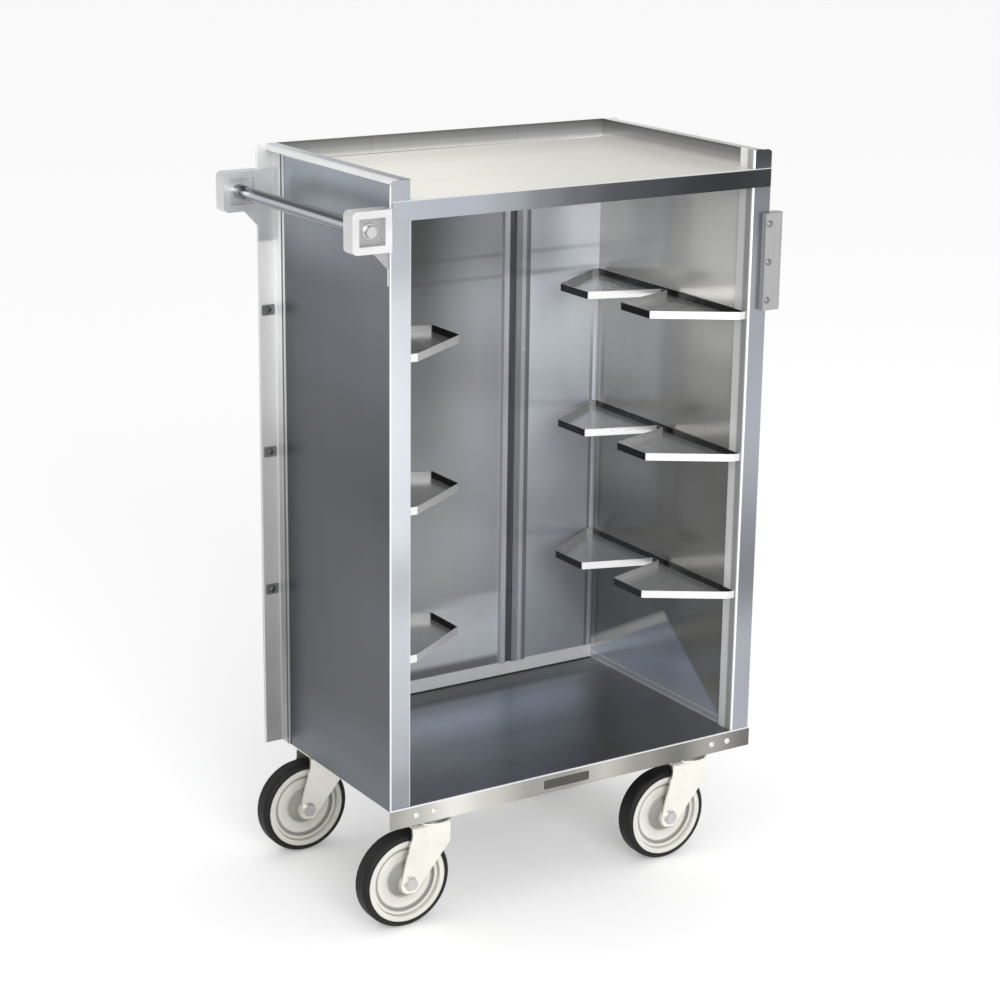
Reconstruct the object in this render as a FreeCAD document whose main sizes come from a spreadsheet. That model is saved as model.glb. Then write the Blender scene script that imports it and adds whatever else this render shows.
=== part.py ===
"""Enclosed meal tray cart: an open-fronted sheet-metal cabinet with tray ledges, on four swivel casters.

+Z is up, the open front faces -Y and the push handle is at the -X end. The origin is on the floor,
under the middle of the cart's whole footprint. All lengths are millimetres.
"""
import FreeCAD, Part
import operator
import os

import Sketcher

document = FreeCAD.newDocument("tray_cart")
sheet = document.addObject("Spreadsheet::Sheet", "sizes")

SIZES = (
    # the cabinet
    ("cabinet_width", 510, "across the outer faces of the side panels"),
    ("cabinet_depth", 343, "front face to back face of the posts"),
    ("base_front_drop", 26, "depth of the base shelf's front flange"),
    ("cabinet_height", 768, "top of the base shelf to the top of the top shelf"),
    ("rim_rise", 24, "top shelf to the top of the rim"),
    # sheet metal
    ("panel_gauge", 1.2, "thickness of side panels, back panels and ledges"),
    ("post_gauge", 1.5, "thickness of the corner posts"),
    ("shelf_gauge", 1.5, "thickness of the base and top shelves"),
    ("channel_gauge", 2, "thickness of the caster channels"),
    ("bend_radius", 2.5, "inner radius of the posts' bend"),
    ("edge_radius", 2.4, "outer radius of the shelves' front bend"),
    ("seat_gap", 0.3, "gap left between pieces that are fitted together"),
    # corner posts
    ("post_wing", 28, "how far each post stands out past the side panel"),
    ("front_leg", 28, "post leg inside the side panel at the front"),
    ("rear_leg", 23, "post leg outside the side panel at the back"),
    ("wing_corner_radius", 9, "rounded upper corner of each post"),
    # folded rims
    ("side_rim_width", 15, "side rim, folded outwards"),
    ("side_rim_lip", 8, "lip turned down from the side rim"),
    ("back_hem_height", 12, "hem folded back along the top of the back"),
    # top and base shelves
    ("top_front_drop", 24, "depth of the top shelf's front flange"),
    ("top_flange_inset", 3, "top front flange stops short of the posts' edges"),
    ("shelf_side_drop", 18, "flanges turned down at the sides and back of a shelf"),
    ("rear_upstand", 20, "flange turned up along the back of the base shelf"),
    # back seams
    ("seam_offset", 114, "from the middle of the back to each seam"),
    ("seam_width", 46, "width of the strip that covers a seam"),
    ("seam_thickness", 5, "thickness of that strip"),
    ("seam_groove_width", 10, "groove along the strip"),
    ("seam_groove_depth", 3.5, "depth of that groove"),
    ("seam_groove_offset", 7, "middle of the strip to the middle of its groove"),
    ("seam_bevel", 2, "slope at each side of the strip"),
    # tray ledges
    ("first_ledge_rise", 190, "base shelf to the underside of the lowest ledge"),
    ("ledge_pitch", 191, "height from ledge to ledge"),
    ("ledge_reach", 110, "how far a ledge stands out from its panel"),
    ("ledge_neck", 10, "width of a ledge where it narrows at mid-depth"),
    ("tab_front_to_middle", 104, "mid-depth to the outer corner of a ledge's tab"),
    ("tab_inner_edge", 66, "length of a tab's inner edge"),
    ("neck_half_length", 6, "half the length of a ledge's neck"),
    ("ledge_lip", 10, "height of the lip round a ledge"),
    ("ledge_corner_radius", 4, "bend at the corners of the lip"),
    # push handle
    ("handle_drop", 57, "top of the rim down to the handle bar's axis"),
    ("handle_diameter", 18, "handle bar"),
    ("bracket_width", 53, "handle bracket's frame, across"),
    ("bracket_height", 51, "handle bracket's frame, upright"),
    ("bracket_web", 4, "thickness of the bracket's plate"),
    ("bracket_rim", 9, "width of the bracket's raised frame"),
    ("bracket_rim_front", 8, "frame proud of the plate on its outer side"),
    ("bracket_rim_inner", 10, "frame proud of the plate towards the bar"),
    ("bracket_corner_radius", 7, "corners of the bracket's frame"),
    ("bracket_tail", 42, "bracket plate below the frame"),
    ("bracket_heel", 32, "level lower edge of the frame, from its outer end to the sloping edge"),
    ("bracket_gusset", 22, "height of the sloping edge under the frame"),
    ("handle_bolt_diameter", 8, "bolts into the handle bar"),
    ("handle_bolt_depth", 22, "how far they reach into the bar"),
    ("handle_bolt_across", 14, "across the flats of their heads"),
    ("handle_bolt_head", 5.5, "height of their heads"),
    ("handle_washer_diameter", 20, "washers under their heads"),
    ("handle_washer_thickness", 1.5, "thickness of those washers"),
    # leg bumpers
    ("bumper_rise", 11, "underside of the top ledge to the lower end of a bumper"),
    ("bumper_length", 127, "length of a bumper"),
    ("bumper_overlap", 13, "bumper over the post's edge"),
    ("bumper_proud", 18, "bumper outside the post's edge"),
    ("bumper_wall", 8, "rubber on each face of the post"),
    ("bumper_radius", 9, "rounding of the bumper's nose"),
    # rivets and screws
    ("rivet_diameter", 4.8, "rivet shanks"),
    ("rivet_head_diameter", 9, "rivet heads"),
    ("rivet_head_height", 2, "rivet heads"),
    ("rivet_tail_diameter", 6.8, "closed ends of the rivets"),
    ("fastener_clearance", 0.1, "radial clearance of a fastener in its hole"),
    ("rivet_pitch", 26, "between the two rivets at each end of the base"),
    ("rivet_edge", 6.5, "outer rivet to the side of the caster channel"),
    ("rivet_rise", 4, "base rivets above the web of the caster channel"),
    ("bumper_rivet_pitch", 50, "between rivets along a bumper"),
    ("clip_width", 19, "small plates on the rear posts, one for each ledge"),
    ("clip_height", 14, "those plates, upright"),
    ("clip_thickness", 1.5, "those plates"),
    ("clip_rise", 3.5, "underside of a ledge to the middle of its plate"),
    ("screw_diameter", 5, "screws through those plates and the rear posts"),
    ("screw_head_diameter", 9, "their heads"),
    ("screw_head_height", 2.4, "their heads"),
    ("screw_inset", 13.8, "those screws from the edge of the post"),
    # casters
    ("caster_spread", 409, "between the swivel axes, left to right"),
    ("caster_track", 274, "between the swivel axes, front to back"),
    ("channel_width", 98, "channel that carries two casters"),
    ("channel_height", 17.5, "that channel, from the caster plates to the base shelf"),
    ("channel_lip", 15, "channel's flanges under the base shelf"),
    ("plate_length", 92, "caster plate, left to right"),
    ("plate_width", 60, "caster plate, front to back"),
    ("plate_thickness", 3, "caster plate"),
    ("plate_corner_radius", 7, "corners of the caster plate"),
    ("plate_bolt_spread", 73, "caster bolts, left to right"),
    ("plate_bolt_track", 43, "caster bolts, front to back"),
    ("plate_bolt_diameter", 8, "caster bolts"),
    ("plate_bolt_across", 13, "across the flats of bolt heads and nuts"),
    ("plate_bolt_head", 5, "height of bolt heads"),
    ("plate_bolt_stub", 10, "bolt above the channel"),
    ("plate_nut", 6.5, "height of nuts"),
    ("running_clearance", 0.05, "radial clearance of axles and kingpins"),
    ("kingpin_diameter", 12.7, "kingpin"),
    ("kingpin_head_diameter", 22, "riveted end of the kingpin"),
    ("kingpin_head_height", 3.5, "riveted end of the kingpin"),
    ("race_diameter", 50, "swivel race"),
    ("race_height", 13, "swivel race"),
    ("race_chamfer", 2.5, "bevel round the swivel race"),
    ("crown_diameter", 56, "fork crown"),
    ("crown_clearance", 10.7, "tyre to the underside of the crown"),
    ("fork_gauge", 3, "thickness of the fork"),
    ("fork_inner_width", 38, "between the fork's legs"),
    ("fork_bend_radius", 4, "inner radius of the fork's bends"),
    ("fork_front", 19, "swivel axis to the fork's leading edge"),
    ("fork_rear", 38, "swivel axis to the fork's trailing shoulder"),
    ("fork_shoulder", 29, "height of the fork's upright leading edge"),
    ("fork_lip", 14, "lip turned down from the front of the crown"),
    ("fork_edge_radius", 2, "rounded leading edge of the fork"),
    ("fork_eye_radius", 14, "round end of each fork leg"),
    ("trail", 41, "swivel axis to wheel axle"),
    # wheels
    ("wheel_diameter", 127, "over the tyre"),
    ("tyre_thickness", 8, "tyre, from its seat to the tread"),
    ("tyre_width", 28, "tyre"),
    ("tyre_shoulder", 7, "rounding of the tyre's shoulders"),
    ("hub_clearance", 0.5, "hub to fork leg"),
    ("hub_diameter", 34, "wheel hub"),
    ("rim_thickness", 6.5, "wheel rim under the tyre"),
    ("rim_width", 26, "wheel rim"),
    ("ridge_diameter", 90, "ridge round the wheel's face"),
    ("ridge_width", 5, "that ridge"),
    ("ridge_height", 3, "that ridge, above the wheel's web"),
    ("web_thickness", 10, "wheel web"),
    ("web_slope", 7, "slopes beside the web"),
    ("axle_diameter", 12.7, "axle bolt"),
    ("axle_head_across", 16, "across the flats of axle head and nut"),
    ("axle_head_height", 5, "axle head"),
    ("axle_nut_height", 8, "axle nut"),
    ("axle_end", 4, "axle past its nut"),
)

for row, (alias, number, meaning) in enumerate(SIZES, start=1):
    sheet.set(f"A{row}", meaning)
    sheet.set(f"B{row}", str(number))
    sheet.setAlias(f"B{row}", alias)
document.recompute()

OPERATORS = {"+": operator.add, "-": operator.sub, "*": operator.mul, "/": operator.truediv}


class Size:
    """A length that knows its number and the sheet formula that gives it."""

    def __init__(self, number, formula):
        self.number = number
        self.formula = formula

    def joined(self, sign, other, turned=False):
        other = as_size(other)
        left, right = (other, self) if turned else (self, other)
        return Size(OPERATORS[sign](left.number, right.number), f"({left.formula} {sign} {right.formula})")

    def __add__(self, other):
        return self.joined("+", other)

    def __radd__(self, other):
        return self.joined("+", other, turned=True)

    def __sub__(self, other):
        return self.joined("-", other)

    def __rsub__(self, other):
        return self.joined("-", other, turned=True)

    def __mul__(self, other):
        return self.joined("*", other)

    def __rmul__(self, other):
        return self.joined("*", other, turned=True)

    def __truediv__(self, other):
        return self.joined("/", other)

    def __neg__(self):
        return -1 * self


def as_size(value):
    return value if isinstance(value, Size) else Size(float(value), f"({float(value)})")


class Sizes:
    """The sheet's named lengths, read as attributes."""

    def __getattr__(self, alias):
        return Size(float(sheet.get(alias)), f"sizes.{alias}")


s = Sizes()

# Places that several pieces share.
side_outer = s.cabinet_width / 2
side_inner = side_outer - s.panel_gauge
wing_edge = side_outer + s.post_wing
front = -s.cabinet_depth / 2
back = s.cabinet_depth / 2
back_inner = back - s.panel_gauge
handle_axis = wing_edge + s.seat_gap + s.bracket_width / 2
bracket_reach = handle_axis + s.bracket_width / 2
bumper_reach = wing_edge + s.bumper_proud
centre_shift = (bracket_reach - bumper_reach) / 2
swivel_x = s.caster_spread / 2
swivel_y = s.caster_track / 2
wheel_radius = s.wheel_diameter / 2

# Heights, stacked up from the floor.
crown_underside = s.wheel_diameter + s.crown_clearance
crown_top = crown_underside + s.fork_gauge
plate_underside = crown_top + s.race_height + s.seat_gap
plate_top = plate_underside + s.plate_thickness
channel_web_top = plate_top + s.channel_gauge
rivet_height = channel_web_top + s.rivet_rise
deck_underside = plate_top + s.channel_height
deck = deck_underside + s.shelf_gauge
base_edge = deck - s.base_front_drop
top = deck + s.cabinet_height
rim = top + s.rim_rise
handle_height = rim - s.handle_drop
leg_inner = side_inner - s.post_gauge
SIDES = (("left", -1), ("right", 1))
ENDS = (("front", -1), ("back", 1))
LEVELS = ("bottom", "middle", "top")
PLANES = {"x": "YZ_Plane", "y": "XZ_Plane", "z": "XY_Plane"}

pieces = []


def bind(thing, place, value):
    """Tie one property of an object to the sheet."""
    thing.setExpression(place, as_size(value).formula)


def put(thing, x=0, y=0, z=0):
    """Place a piece; every piece shares the cart's own shift to the middle of its footprint."""
    for letter, value in zip("xyz", (x, y, z)):
        bind(thing, f"Placement.Base.{letter}", value)
    return thing


def keep(thing, label):
    thing.Label = label
    pieces.append(thing)
    return thing


def new_body(label, x=centre_shift, y=0, z=0):
    body = document.addObject("PartDesign::Body", label)
    return keep(put(body, x, y, z), label)


def drawing(body, name, axis, at, loops=(), circles=()):
    """A sketch square to an axis, with straight-sided loops and circles, all tied to the sheet."""
    sketch = body.newObject("Sketcher::SketchObject", name)
    role = PLANES[axis]
    origin_plane = next(item for item in body.Origin.OriginFeatures if item.Role == role)
    sketch.AttachmentSupport = [(origin_plane, "")]
    sketch.MapMode = "FlatFace"
    bind(sketch, "AttachmentOffset.Base.z", -as_size(at) if axis == "y" else at)
    for corners in loops:
        draw_loop(sketch, corners)
    for across, up, radius in circles:
        draw_circle(sketch, across, up, radius)
    return sketch


def tie_point(sketch, curve, point, across, up):
    for kind, value in (("DistanceX", as_size(across)), ("DistanceY", as_size(up))):
        index = sketch.addConstraint(Sketcher.Constraint(kind, -1, 1, curve, point, value.number))
        sketch.setExpression(f"Constraints[{index}]", value.formula)


def draw_loop(sketch, corners):
    points = [FreeCAD.Vector(as_size(across).number, as_size(up).number, 0) for across, up in corners]
    first = sketch.GeometryCount
    total = len(points)
    for index, point in enumerate(points):
        sketch.addGeometry(Part.LineSegment(point, points[(index + 1) % total]), False)
    for index in range(total):
        following = first + (index + 1) % total
        sketch.addConstraint(Sketcher.Constraint("Coincident", first + index, 2, following, 1))
    for index, (across, up) in enumerate(corners):
        tie_point(sketch, first + index, 1, across, up)


def draw_circle(sketch, across, up, radius):
    across, up, radius = as_size(across), as_size(up), as_size(radius)
    centre = FreeCAD.Vector(across.number, up.number, 0)
    curve = sketch.addGeometry(Part.Circle(centre, FreeCAD.Vector(0, 0, 1), radius.number), False)
    tie_point(sketch, curve, 3, across, up)
    index = sketch.addConstraint(Sketcher.Constraint("Radius", curve, radius.number))
    sketch.setExpression(f"Constraints[{index}]", radius.formula)


def extrude(body, name, axis, low, high, loops=(), circles=()):
    """Add material between two heights along an axis."""
    start = high if axis == "y" else low
    feature = body.newObject("PartDesign::Pad", name)
    feature.Profile = drawing(body, f"{name}_sketch", axis, start, loops, circles)
    bind(feature, "Length", high - low)
    document.recompute()
    return feature


def cut(body, name, axis, low, high, loops=(), circles=()):
    """Take material away between two heights along an axis."""
    volume = body.Shape.Volume
    start = low if axis == "y" else high
    profile = drawing(body, f"{name}_sketch", axis, start, loops, circles)
    feature = body.newObject("PartDesign::Pocket", name)
    feature.Profile = profile
    bind(feature, "Length", high - low)
    document.recompute()
    if not body.Shape.Volume < volume:
        raise RuntimeError(f"{body.Label}: {name} cuts nothing")
    return feature


def turn(body, name, loop):
    """A ring turned about the Y axis; the loop holds (radius, place along Y) corners."""
    feature = body.newObject("PartDesign::Revolution", name)
    profile = drawing(body, f"{name}_sketch", "z", 0, [loop])
    feature.Profile = profile
    feature.ReferenceAxis = (profile, ["V_Axis"])
    feature.Angle = 360
    document.recompute()
    return feature


def edges_along(shape, axis, **place):
    """Names of the straight edges that run along an axis at a place such as x=3, z=5."""
    found = []
    for index, edge in enumerate(shape.Edges, start=1):
        box = edge.BoundBox
        low = {"x": box.XMin, "y": box.YMin, "z": box.ZMin}
        high = {"x": box.XMax, "y": box.YMax, "z": box.ZMax}
        straight = all(high[key] - low[key] < 0.001 for key in low if key != axis)
        there = all(abs(low[key] - as_size(value).number) < 0.01 for key, value in place.items())
        if straight and there and high[axis] - low[axis] > 0.01:
            found.append(f"Edge{index}")
    if not found:
        raise RuntimeError(f"no edge along {axis} at {place}")
    return found


def round_over(body, name, radius, *chosen):
    """Round the chosen edges; each choice is an axis and a place, as edges_along takes them."""
    base = body.Tip
    feature = body.newObject("PartDesign::Fillet", name)
    names = [edge for axis, place in chosen for edge in edges_along(base.Shape, axis, **place)]
    feature.Base = (base, names)
    bind(feature, "Radius", radius)
    document.recompute()
    return feature


def rectangle(left, low, right, high):
    return [(left, low), (right, low), (right, high), (left, high)]


def mirrored(side, loop):
    return [(side * across, up) for across, up in loop]


# ---------------------------------------------------------------- cabinet

def corner_post_front(name, side):
    """Angle post: its wing stands out past the side panel, its leg lies inside the panel."""
    body = new_body(f"post_front_{name}")
    section = [
        (leg_inner, front), (wing_edge, front), (wing_edge, front + s.post_gauge),
        (side_inner, front + s.post_gauge), (side_inner, front + s.front_leg),
        (leg_inner, front + s.front_leg),
    ]
    extrude(body, "angle", "z", base_edge, rim, [mirrored(side, section)])
    round_over(body, "inner_bend", s.bend_radius,
               ("z", dict(x=side * side_inner, y=front + s.post_gauge)))
    round_over(body, "outer_bend", s.bend_radius + s.post_gauge, ("z", dict(x=side * leg_inner, y=front)))
    round_over(body, "upper_corner", s.wing_corner_radius, ("y", dict(x=side * wing_edge, z=rim)))
    bumper_rivet_holes(body, side, front, front + s.post_gauge)


def corner_post_back(name, side):
    """The same angle turned over: its leg lies outside the side panel and stops under the rim."""
    body = new_body(f"post_back_{name}")
    wing_face = back - s.post_gauge
    leg_face = side_outer + s.post_gauge
    section = [
        (side_outer, back), (wing_edge, back), (wing_edge, wing_face),
        (leg_face, wing_face), (leg_face, back - s.rear_leg), (side_outer, back - s.rear_leg),
    ]
    extrude(body, "angle", "z", base_edge, rim, [mirrored(side, section)])
    round_over(body, "inner_bend", s.bend_radius, ("z", dict(x=side * leg_face, y=wing_face)))
    round_over(body, "outer_bend", s.bend_radius + s.post_gauge, ("z", dict(x=side * side_outer, y=back)))
    trim = rectangle(side_outer - 1, back - s.rear_leg - 1, wing_edge + 1, wing_face)
    cut(body, "rim_clearance", "z", rim - s.side_rim_lip - s.seat_gap, rim,
        [mirrored(side, trim)])
    round_over(body, "upper_corner", s.wing_corner_radius, ("y", dict(x=side * wing_edge, z=rim)))
    radius = s.screw_diameter / 2 + s.fastener_clearance
    across = side * (wing_edge - s.screw_inset)
    screws = [(across, clip_middle(level), radius) for level in range(len(LEVELS))]
    cut(body, "screw_holes", "y", wing_face, back, circles=screws)
    bumper_rivet_holes(body, side, wing_face, back)


def bumper_rivet_places():
    middle = bumper_bottom() + s.bumper_length / 2
    return [(wing_edge - s.bumper_overlap / 2, middle + step * s.bumper_rivet_pitch) for step in (-1, 0, 1)]


def bumper_rivet_holes(body, side, low, high):
    """Only the right-hand posts carry bumpers."""
    if side > 0:
        radius = s.rivet_diameter / 2 + s.fastener_clearance
        holes = [(across, up, radius) for across, up in bumper_rivet_places()]
        cut(body, "bumper_rivet_holes", "y", low, high, circles=holes)


def side_panel(name, side):
    """Side sheet with its top folded outwards and down into a rim."""
    body = new_body(f"{name}_side_panel")
    fold = side_outer + s.side_rim_width
    section = [
        (side_inner, base_edge), (side_outer, base_edge),
        (side_outer, rim - s.panel_gauge), (fold - s.panel_gauge, rim - s.panel_gauge),
        (fold - s.panel_gauge, rim - s.side_rim_lip), (fold, rim - s.side_rim_lip),
        (fold, rim), (side_inner, rim),
    ]
    low = front + s.post_gauge + s.bend_radius + s.seat_gap
    high = back - s.post_gauge
    extrude(body, "folded_sheet", "y", low, high, [mirrored(side, section)])
    round_over(body, "rim_bend", s.panel_gauge * 2, ("y", dict(x=side * fold, z=rim)))


def back_panel(label, left, right):
    """Flat sheet with a hem folded back along its top edge."""
    body = new_body(label)
    hem_face = back + s.panel_gauge
    section = [
        (back_inner, base_edge), (back, base_edge),
        (back, rim - s.back_hem_height), (hem_face, rim - s.back_hem_height),
        (hem_face, rim), (back_inner, rim),
    ]
    extrude(body, "hemmed_sheet", "x", left, right, [section])
    round_over(body, "hem_bend", s.panel_gauge, ("x", dict(y=hem_face, z=rim)))


def back_panels():
    half_joint = s.seat_gap / 2
    back_panel("back_panel_centre", -s.seam_offset + half_joint, s.seam_offset - half_joint)
    back_panel("back_panel_left", -side_outer, -s.seam_offset - half_joint)
    back_panel("back_panel_right", s.seam_offset + half_joint, side_outer)


def seam_strip(name, side):
    """Grooved strip inside the cabinet, over the joint between two back panels."""
    body = new_body(f"back_seam_strip_{name}")
    face = back_inner - s.seam_thickness
    groove = back_inner - s.seam_thickness + s.seam_groove_depth
    middle = s.seam_offset
    inner, outer = middle - s.seam_width / 2, middle + s.seam_width / 2
    groove_inner = middle - s.seam_groove_offset - s.seam_groove_width / 2
    groove_outer = groove_inner + s.seam_groove_width
    section = [
        (inner, back_inner), (inner + s.seam_bevel, face),
        (groove_inner, face), (groove_inner, groove), (groove_outer, groove), (groove_outer, face),
        (outer - s.seam_bevel, face), (outer, back_inner),
    ]
    low = deck + s.rear_upstand
    high = top - s.shelf_gauge - s.shelf_side_drop - s.seat_gap
    extrude(body, "strip", "z", low, high, [mirrored(side, section)])


def post_notches(body, low, high):
    """Shelves are notched at the front corners so that the posts' legs can pass."""
    inner = leg_inner - s.seat_gap
    rear = front + s.front_leg + s.seat_gap
    for name, side in SIDES:
        notch = rectangle(inner, front, side_inner + 1, rear)
        cut(body, f"{name}_notch", "z", low, high, [mirrored(side, notch)])


def top_shelf():
    """Tray-like top sheet; its front flange laps over both front posts."""
    body = new_body("top_shelf")
    low = top - s.shelf_gauge
    flange_face = front - s.shelf_gauge
    half_flange = wing_edge - s.top_flange_inset
    extrude(body, "sheet", "z", low, top,
            [rectangle(-side_inner, flange_face, side_inner, back_inner)])
    extrude(body, "front_flange", "y", flange_face, front,
            [rectangle(-half_flange, top - s.top_front_drop, half_flange, top)])
    hanging_flanges(body, low - s.shelf_side_drop, low, back_inner)
    post_notches(body, low, top)
    round_over(body, "front_bend", s.shelf_gauge * 0.9, ("x", dict(y=flange_face, z=top)))


def hanging_flanges(body, low, high, rear):
    """Flanges turned down along both sides and the back of a shelf."""
    start = front + s.front_leg + s.seat_gap
    for name, side in SIDES:
        strip = rectangle(side_inner - s.shelf_gauge, start, side_inner, rear)
        extrude(body, f"{name}_flange", "z", low, high, [mirrored(side, strip)])
    strip = rectangle(-side_inner, rear - s.shelf_gauge, side_inner, rear)
    extrude(body, "rear_flange", "z", low, high, [strip])


def base_shelf():
    """Deck with a full-width front flange and an upstand at the back."""
    body = new_body("base_shelf")
    flange_face = front - s.shelf_gauge
    extrude(body, "deck", "z", deck_underside, deck,
            [rectangle(-side_inner, flange_face, side_inner, back_inner)])
    extrude(body, "front_flange", "y", flange_face, front,
            [rectangle(-wing_edge, base_edge, wing_edge, deck)])
    extrude(body, "rear_upstand", "y", back_inner - s.shelf_gauge, back_inner,
            [rectangle(-side_inner, deck_underside, side_inner, deck + s.rear_upstand)])
    post_notches(body, deck_underside, deck)
    holes = [(side * across, rivet_height, s.rivet_diameter / 2 + s.fastener_clearance)
             for name, side in SIDES for across in base_rivet_places()]
    cut(body, "rivet_holes", "y", flange_face, front, circles=holes)
    round_over(body, "front_bend", s.shelf_gauge * 0.9, ("x", dict(y=flange_face, z=deck)))


def base_rivet_places():
    outer = leg_inner - s.seat_gap - s.rivet_edge
    return outer, outer - s.rivet_pitch


def ledge_height(level):
    return deck + s.first_ledge_rise + level * s.ledge_pitch


def clip_middle(level):
    return ledge_height(level) + s.clip_rise


def bumper_bottom():
    return ledge_height(len(LEVELS) - 1) + s.bumper_rise


def ledge(name, side, level):
    """Tray ledge: one sheet with two tapered tabs and a lip turned up all round."""
    body = new_body(f"ledge_{name}_{LEVELS[level]}")
    wall = side_inner - s.seat_gap
    post_wall = leg_inner - s.seat_gap
    post_end = front + s.front_leg + s.seat_gap
    tip = side_inner - s.ledge_reach
    front_end = front + s.post_gauge + s.bend_radius + s.seat_gap
    back_end = back_inner - s.seat_gap
    tab_end = s.tab_front_to_middle
    tab_start = s.tab_front_to_middle - s.tab_inner_edge
    shoulder = post_wall - s.ledge_neck
    half = [(tip, tab_end), (tip, tab_start), (shoulder, s.neck_half_length)]
    plan = [(wall, post_end), (post_wall, post_end), (post_wall, front_end), (shoulder, front_end)]
    plan += [(across, -up) for across, up in half]
    plan += list(reversed(half)) + [(shoulder, back_end), (wall, back_end)]
    low = ledge_height(level)
    extrude(body, "block", "z", low, low + s.ledge_lip, [mirrored(side, plan)])
    bends = [("z", dict(x=side * tip, y=sign * place)) for sign in (-1, 1) for place in (tab_end, tab_start)]
    round_over(body, "lip_bends", s.ledge_corner_radius, *bends)
    hollow_from_above(body, s.panel_gauge)


def hollow_from_above(body, gauge):
    """Turn a block into a shallow sheet-metal tray that is open on top."""
    base = body.Tip
    highest = base.Shape.BoundBox.ZMax
    names = [f"Face{index}" for index, face in enumerate(base.Shape.Faces, start=1)
             if face.BoundBox.ZMin > highest - 0.001]
    feature = body.newObject("PartDesign::Thickness", "sheet")
    feature.Base = (base, names)
    feature.Reversed = True
    feature.Join = "Intersection"
    bind(feature, "Value", gauge)
    document.recompute()


# ---------------------------------------------------------------- handle and bumpers

def handle_bar():
    body = new_body("handle_bar")
    half = s.cabinet_depth / 2 - s.post_gauge - s.bracket_web
    extrude(body, "bar", "y", -half, half, circles=[(-handle_axis, handle_height, s.handle_diameter / 2)])
    bore = (-handle_axis, handle_height, s.handle_bolt_diameter / 2 + s.fastener_clearance)
    reach = s.handle_bolt_depth + 2
    cut(body, "front_bore", "y", -half, reach - half, circles=[bore])
    cut(body, "back_bore", "y", half - reach, half, circles=[bore])


def handle_bracket(name, end):
    """Pressed bracket: a square frame that stands out both ways from a plate fixed to the post."""
    body = new_body(f"handle_bracket_{name}")
    plate_outer = end * (back - s.post_gauge)
    plate_inner = end * (back - s.post_gauge - s.bracket_web)
    frame_outer = end * (back - s.post_gauge + s.bracket_rim_front)
    frame_inner = end * (back - s.post_gauge - s.bracket_web - s.bracket_rim_inner)
    left, right = -bracket_reach, s.bracket_width - bracket_reach
    low, high = handle_height - s.bracket_height / 2, handle_height + s.bracket_height / 2
    tail = -side_outer - s.post_gauge - s.bend_radius - s.seat_gap
    plate = [
        (left, low), (left + s.bracket_heel, low), (right, low - s.bracket_gusset),
        (right, low - s.bracket_tail), (tail, low - s.bracket_tail), (tail, high), (left, high),
    ]
    ordered = sorted((plate_outer, plate_inner), key=lambda size: size.number)
    extrude(body, "plate", "y", *ordered, [plate])
    outer = rectangle(left, low, right, high)
    inset = s.bracket_rim
    inner = rectangle(left + inset, low + inset, right - inset, high - inset)
    frames = (("outer_frame", plate_outer, frame_outer), ("inner_frame", plate_inner, frame_inner))
    for part, near, far in frames:
        ordered = sorted((near, far), key=lambda size: size.number)
        extrude(body, part, "y", *ordered, [outer, inner])
    corners = [("y", dict(x=left, z=height)) for height in (low, high)]
    round_over(body, "frame_corners", s.bracket_corner_radius, *corners)
    ordered = sorted((plate_outer, plate_inner), key=lambda size: size.number)
    bore = (-handle_axis, handle_height, s.handle_bolt_diameter / 2 + s.fastener_clearance)
    cut(body, "bolt_hole", "y", *ordered, circles=[bore])


def cylinder(radius, height):
    thing = document.addObject("Part::Cylinder", "rod")
    bind(thing, "Radius", radius)
    bind(thing, "Height", height)
    return thing


def hexagon(across, height):
    """Hexagonal prism; its corners lie on a circle 2 / sqrt(3) times the size across its flats."""
    thing = document.addObject("Part::Prism", "hexagon")
    thing.Polygon = 6
    bind(thing, "Circumradius", across * 0.57735)
    bind(thing, "Height", height)
    return thing


def cone(low_radius, high_radius, height):
    thing = document.addObject("Part::Cone", "head")
    bind(thing, "Radius1", low_radius)
    bind(thing, "Radius2", high_radius)
    bind(thing, "Height", height)
    return thing


def fused(*things):
    fusion = document.addObject("Part::MultiFuse", "fastener")
    fusion.Shapes = list(things)
    return fusion


def holed(thing, radius, height):
    """A prism or disc with a round hole through it."""
    drill = cylinder(radius, height)
    for letter in "xyz":
        drill.setExpression(f"Placement.Base.{letter}", f"{thing.Name}.Placement.Base.{letter}")
    result = document.addObject("Part::Cut", "ring")
    result.Base = thing
    result.Tool = drill
    return result


def face_along(thing, end):
    """Lay a fastener along Y: its own +Z points to -Y for the front end and to +Y for the back end."""
    thing.Placement.Rotation = FreeCAD.Rotation(FreeCAD.Vector(1, 0, 0), -90 * end)
    return thing


def group(label, things):
    compound = document.addObject("Part::Compound", label)
    compound.Links = list(things)
    return keep(compound, label)


def handle_bolts():
    """Hexagon bolts with washers that hold the bar between the brackets."""
    things = []
    for name, end in ENDS:
        washer = cylinder(s.handle_washer_diameter / 2, s.handle_washer_thickness)
        washer = holed(washer, s.handle_bolt_diameter / 2 + s.fastener_clearance, s.handle_washer_thickness)
        head = hexagon(s.handle_bolt_across, s.handle_bolt_head)
        length = s.handle_washer_thickness + s.bracket_web + s.handle_bolt_depth
        shank = cylinder(s.handle_bolt_diameter / 2, length)
        put(head, z=s.handle_washer_thickness)
        put(shank, z=s.handle_washer_thickness - length)
        seat = end * (back - s.post_gauge)
        for thing in (washer, fused(head, shank)):
            face_along(thing, end)
            things.append(put(thing, centre_shift - handle_axis, seat, handle_height))
    group("handle_bolts", things)


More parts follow.
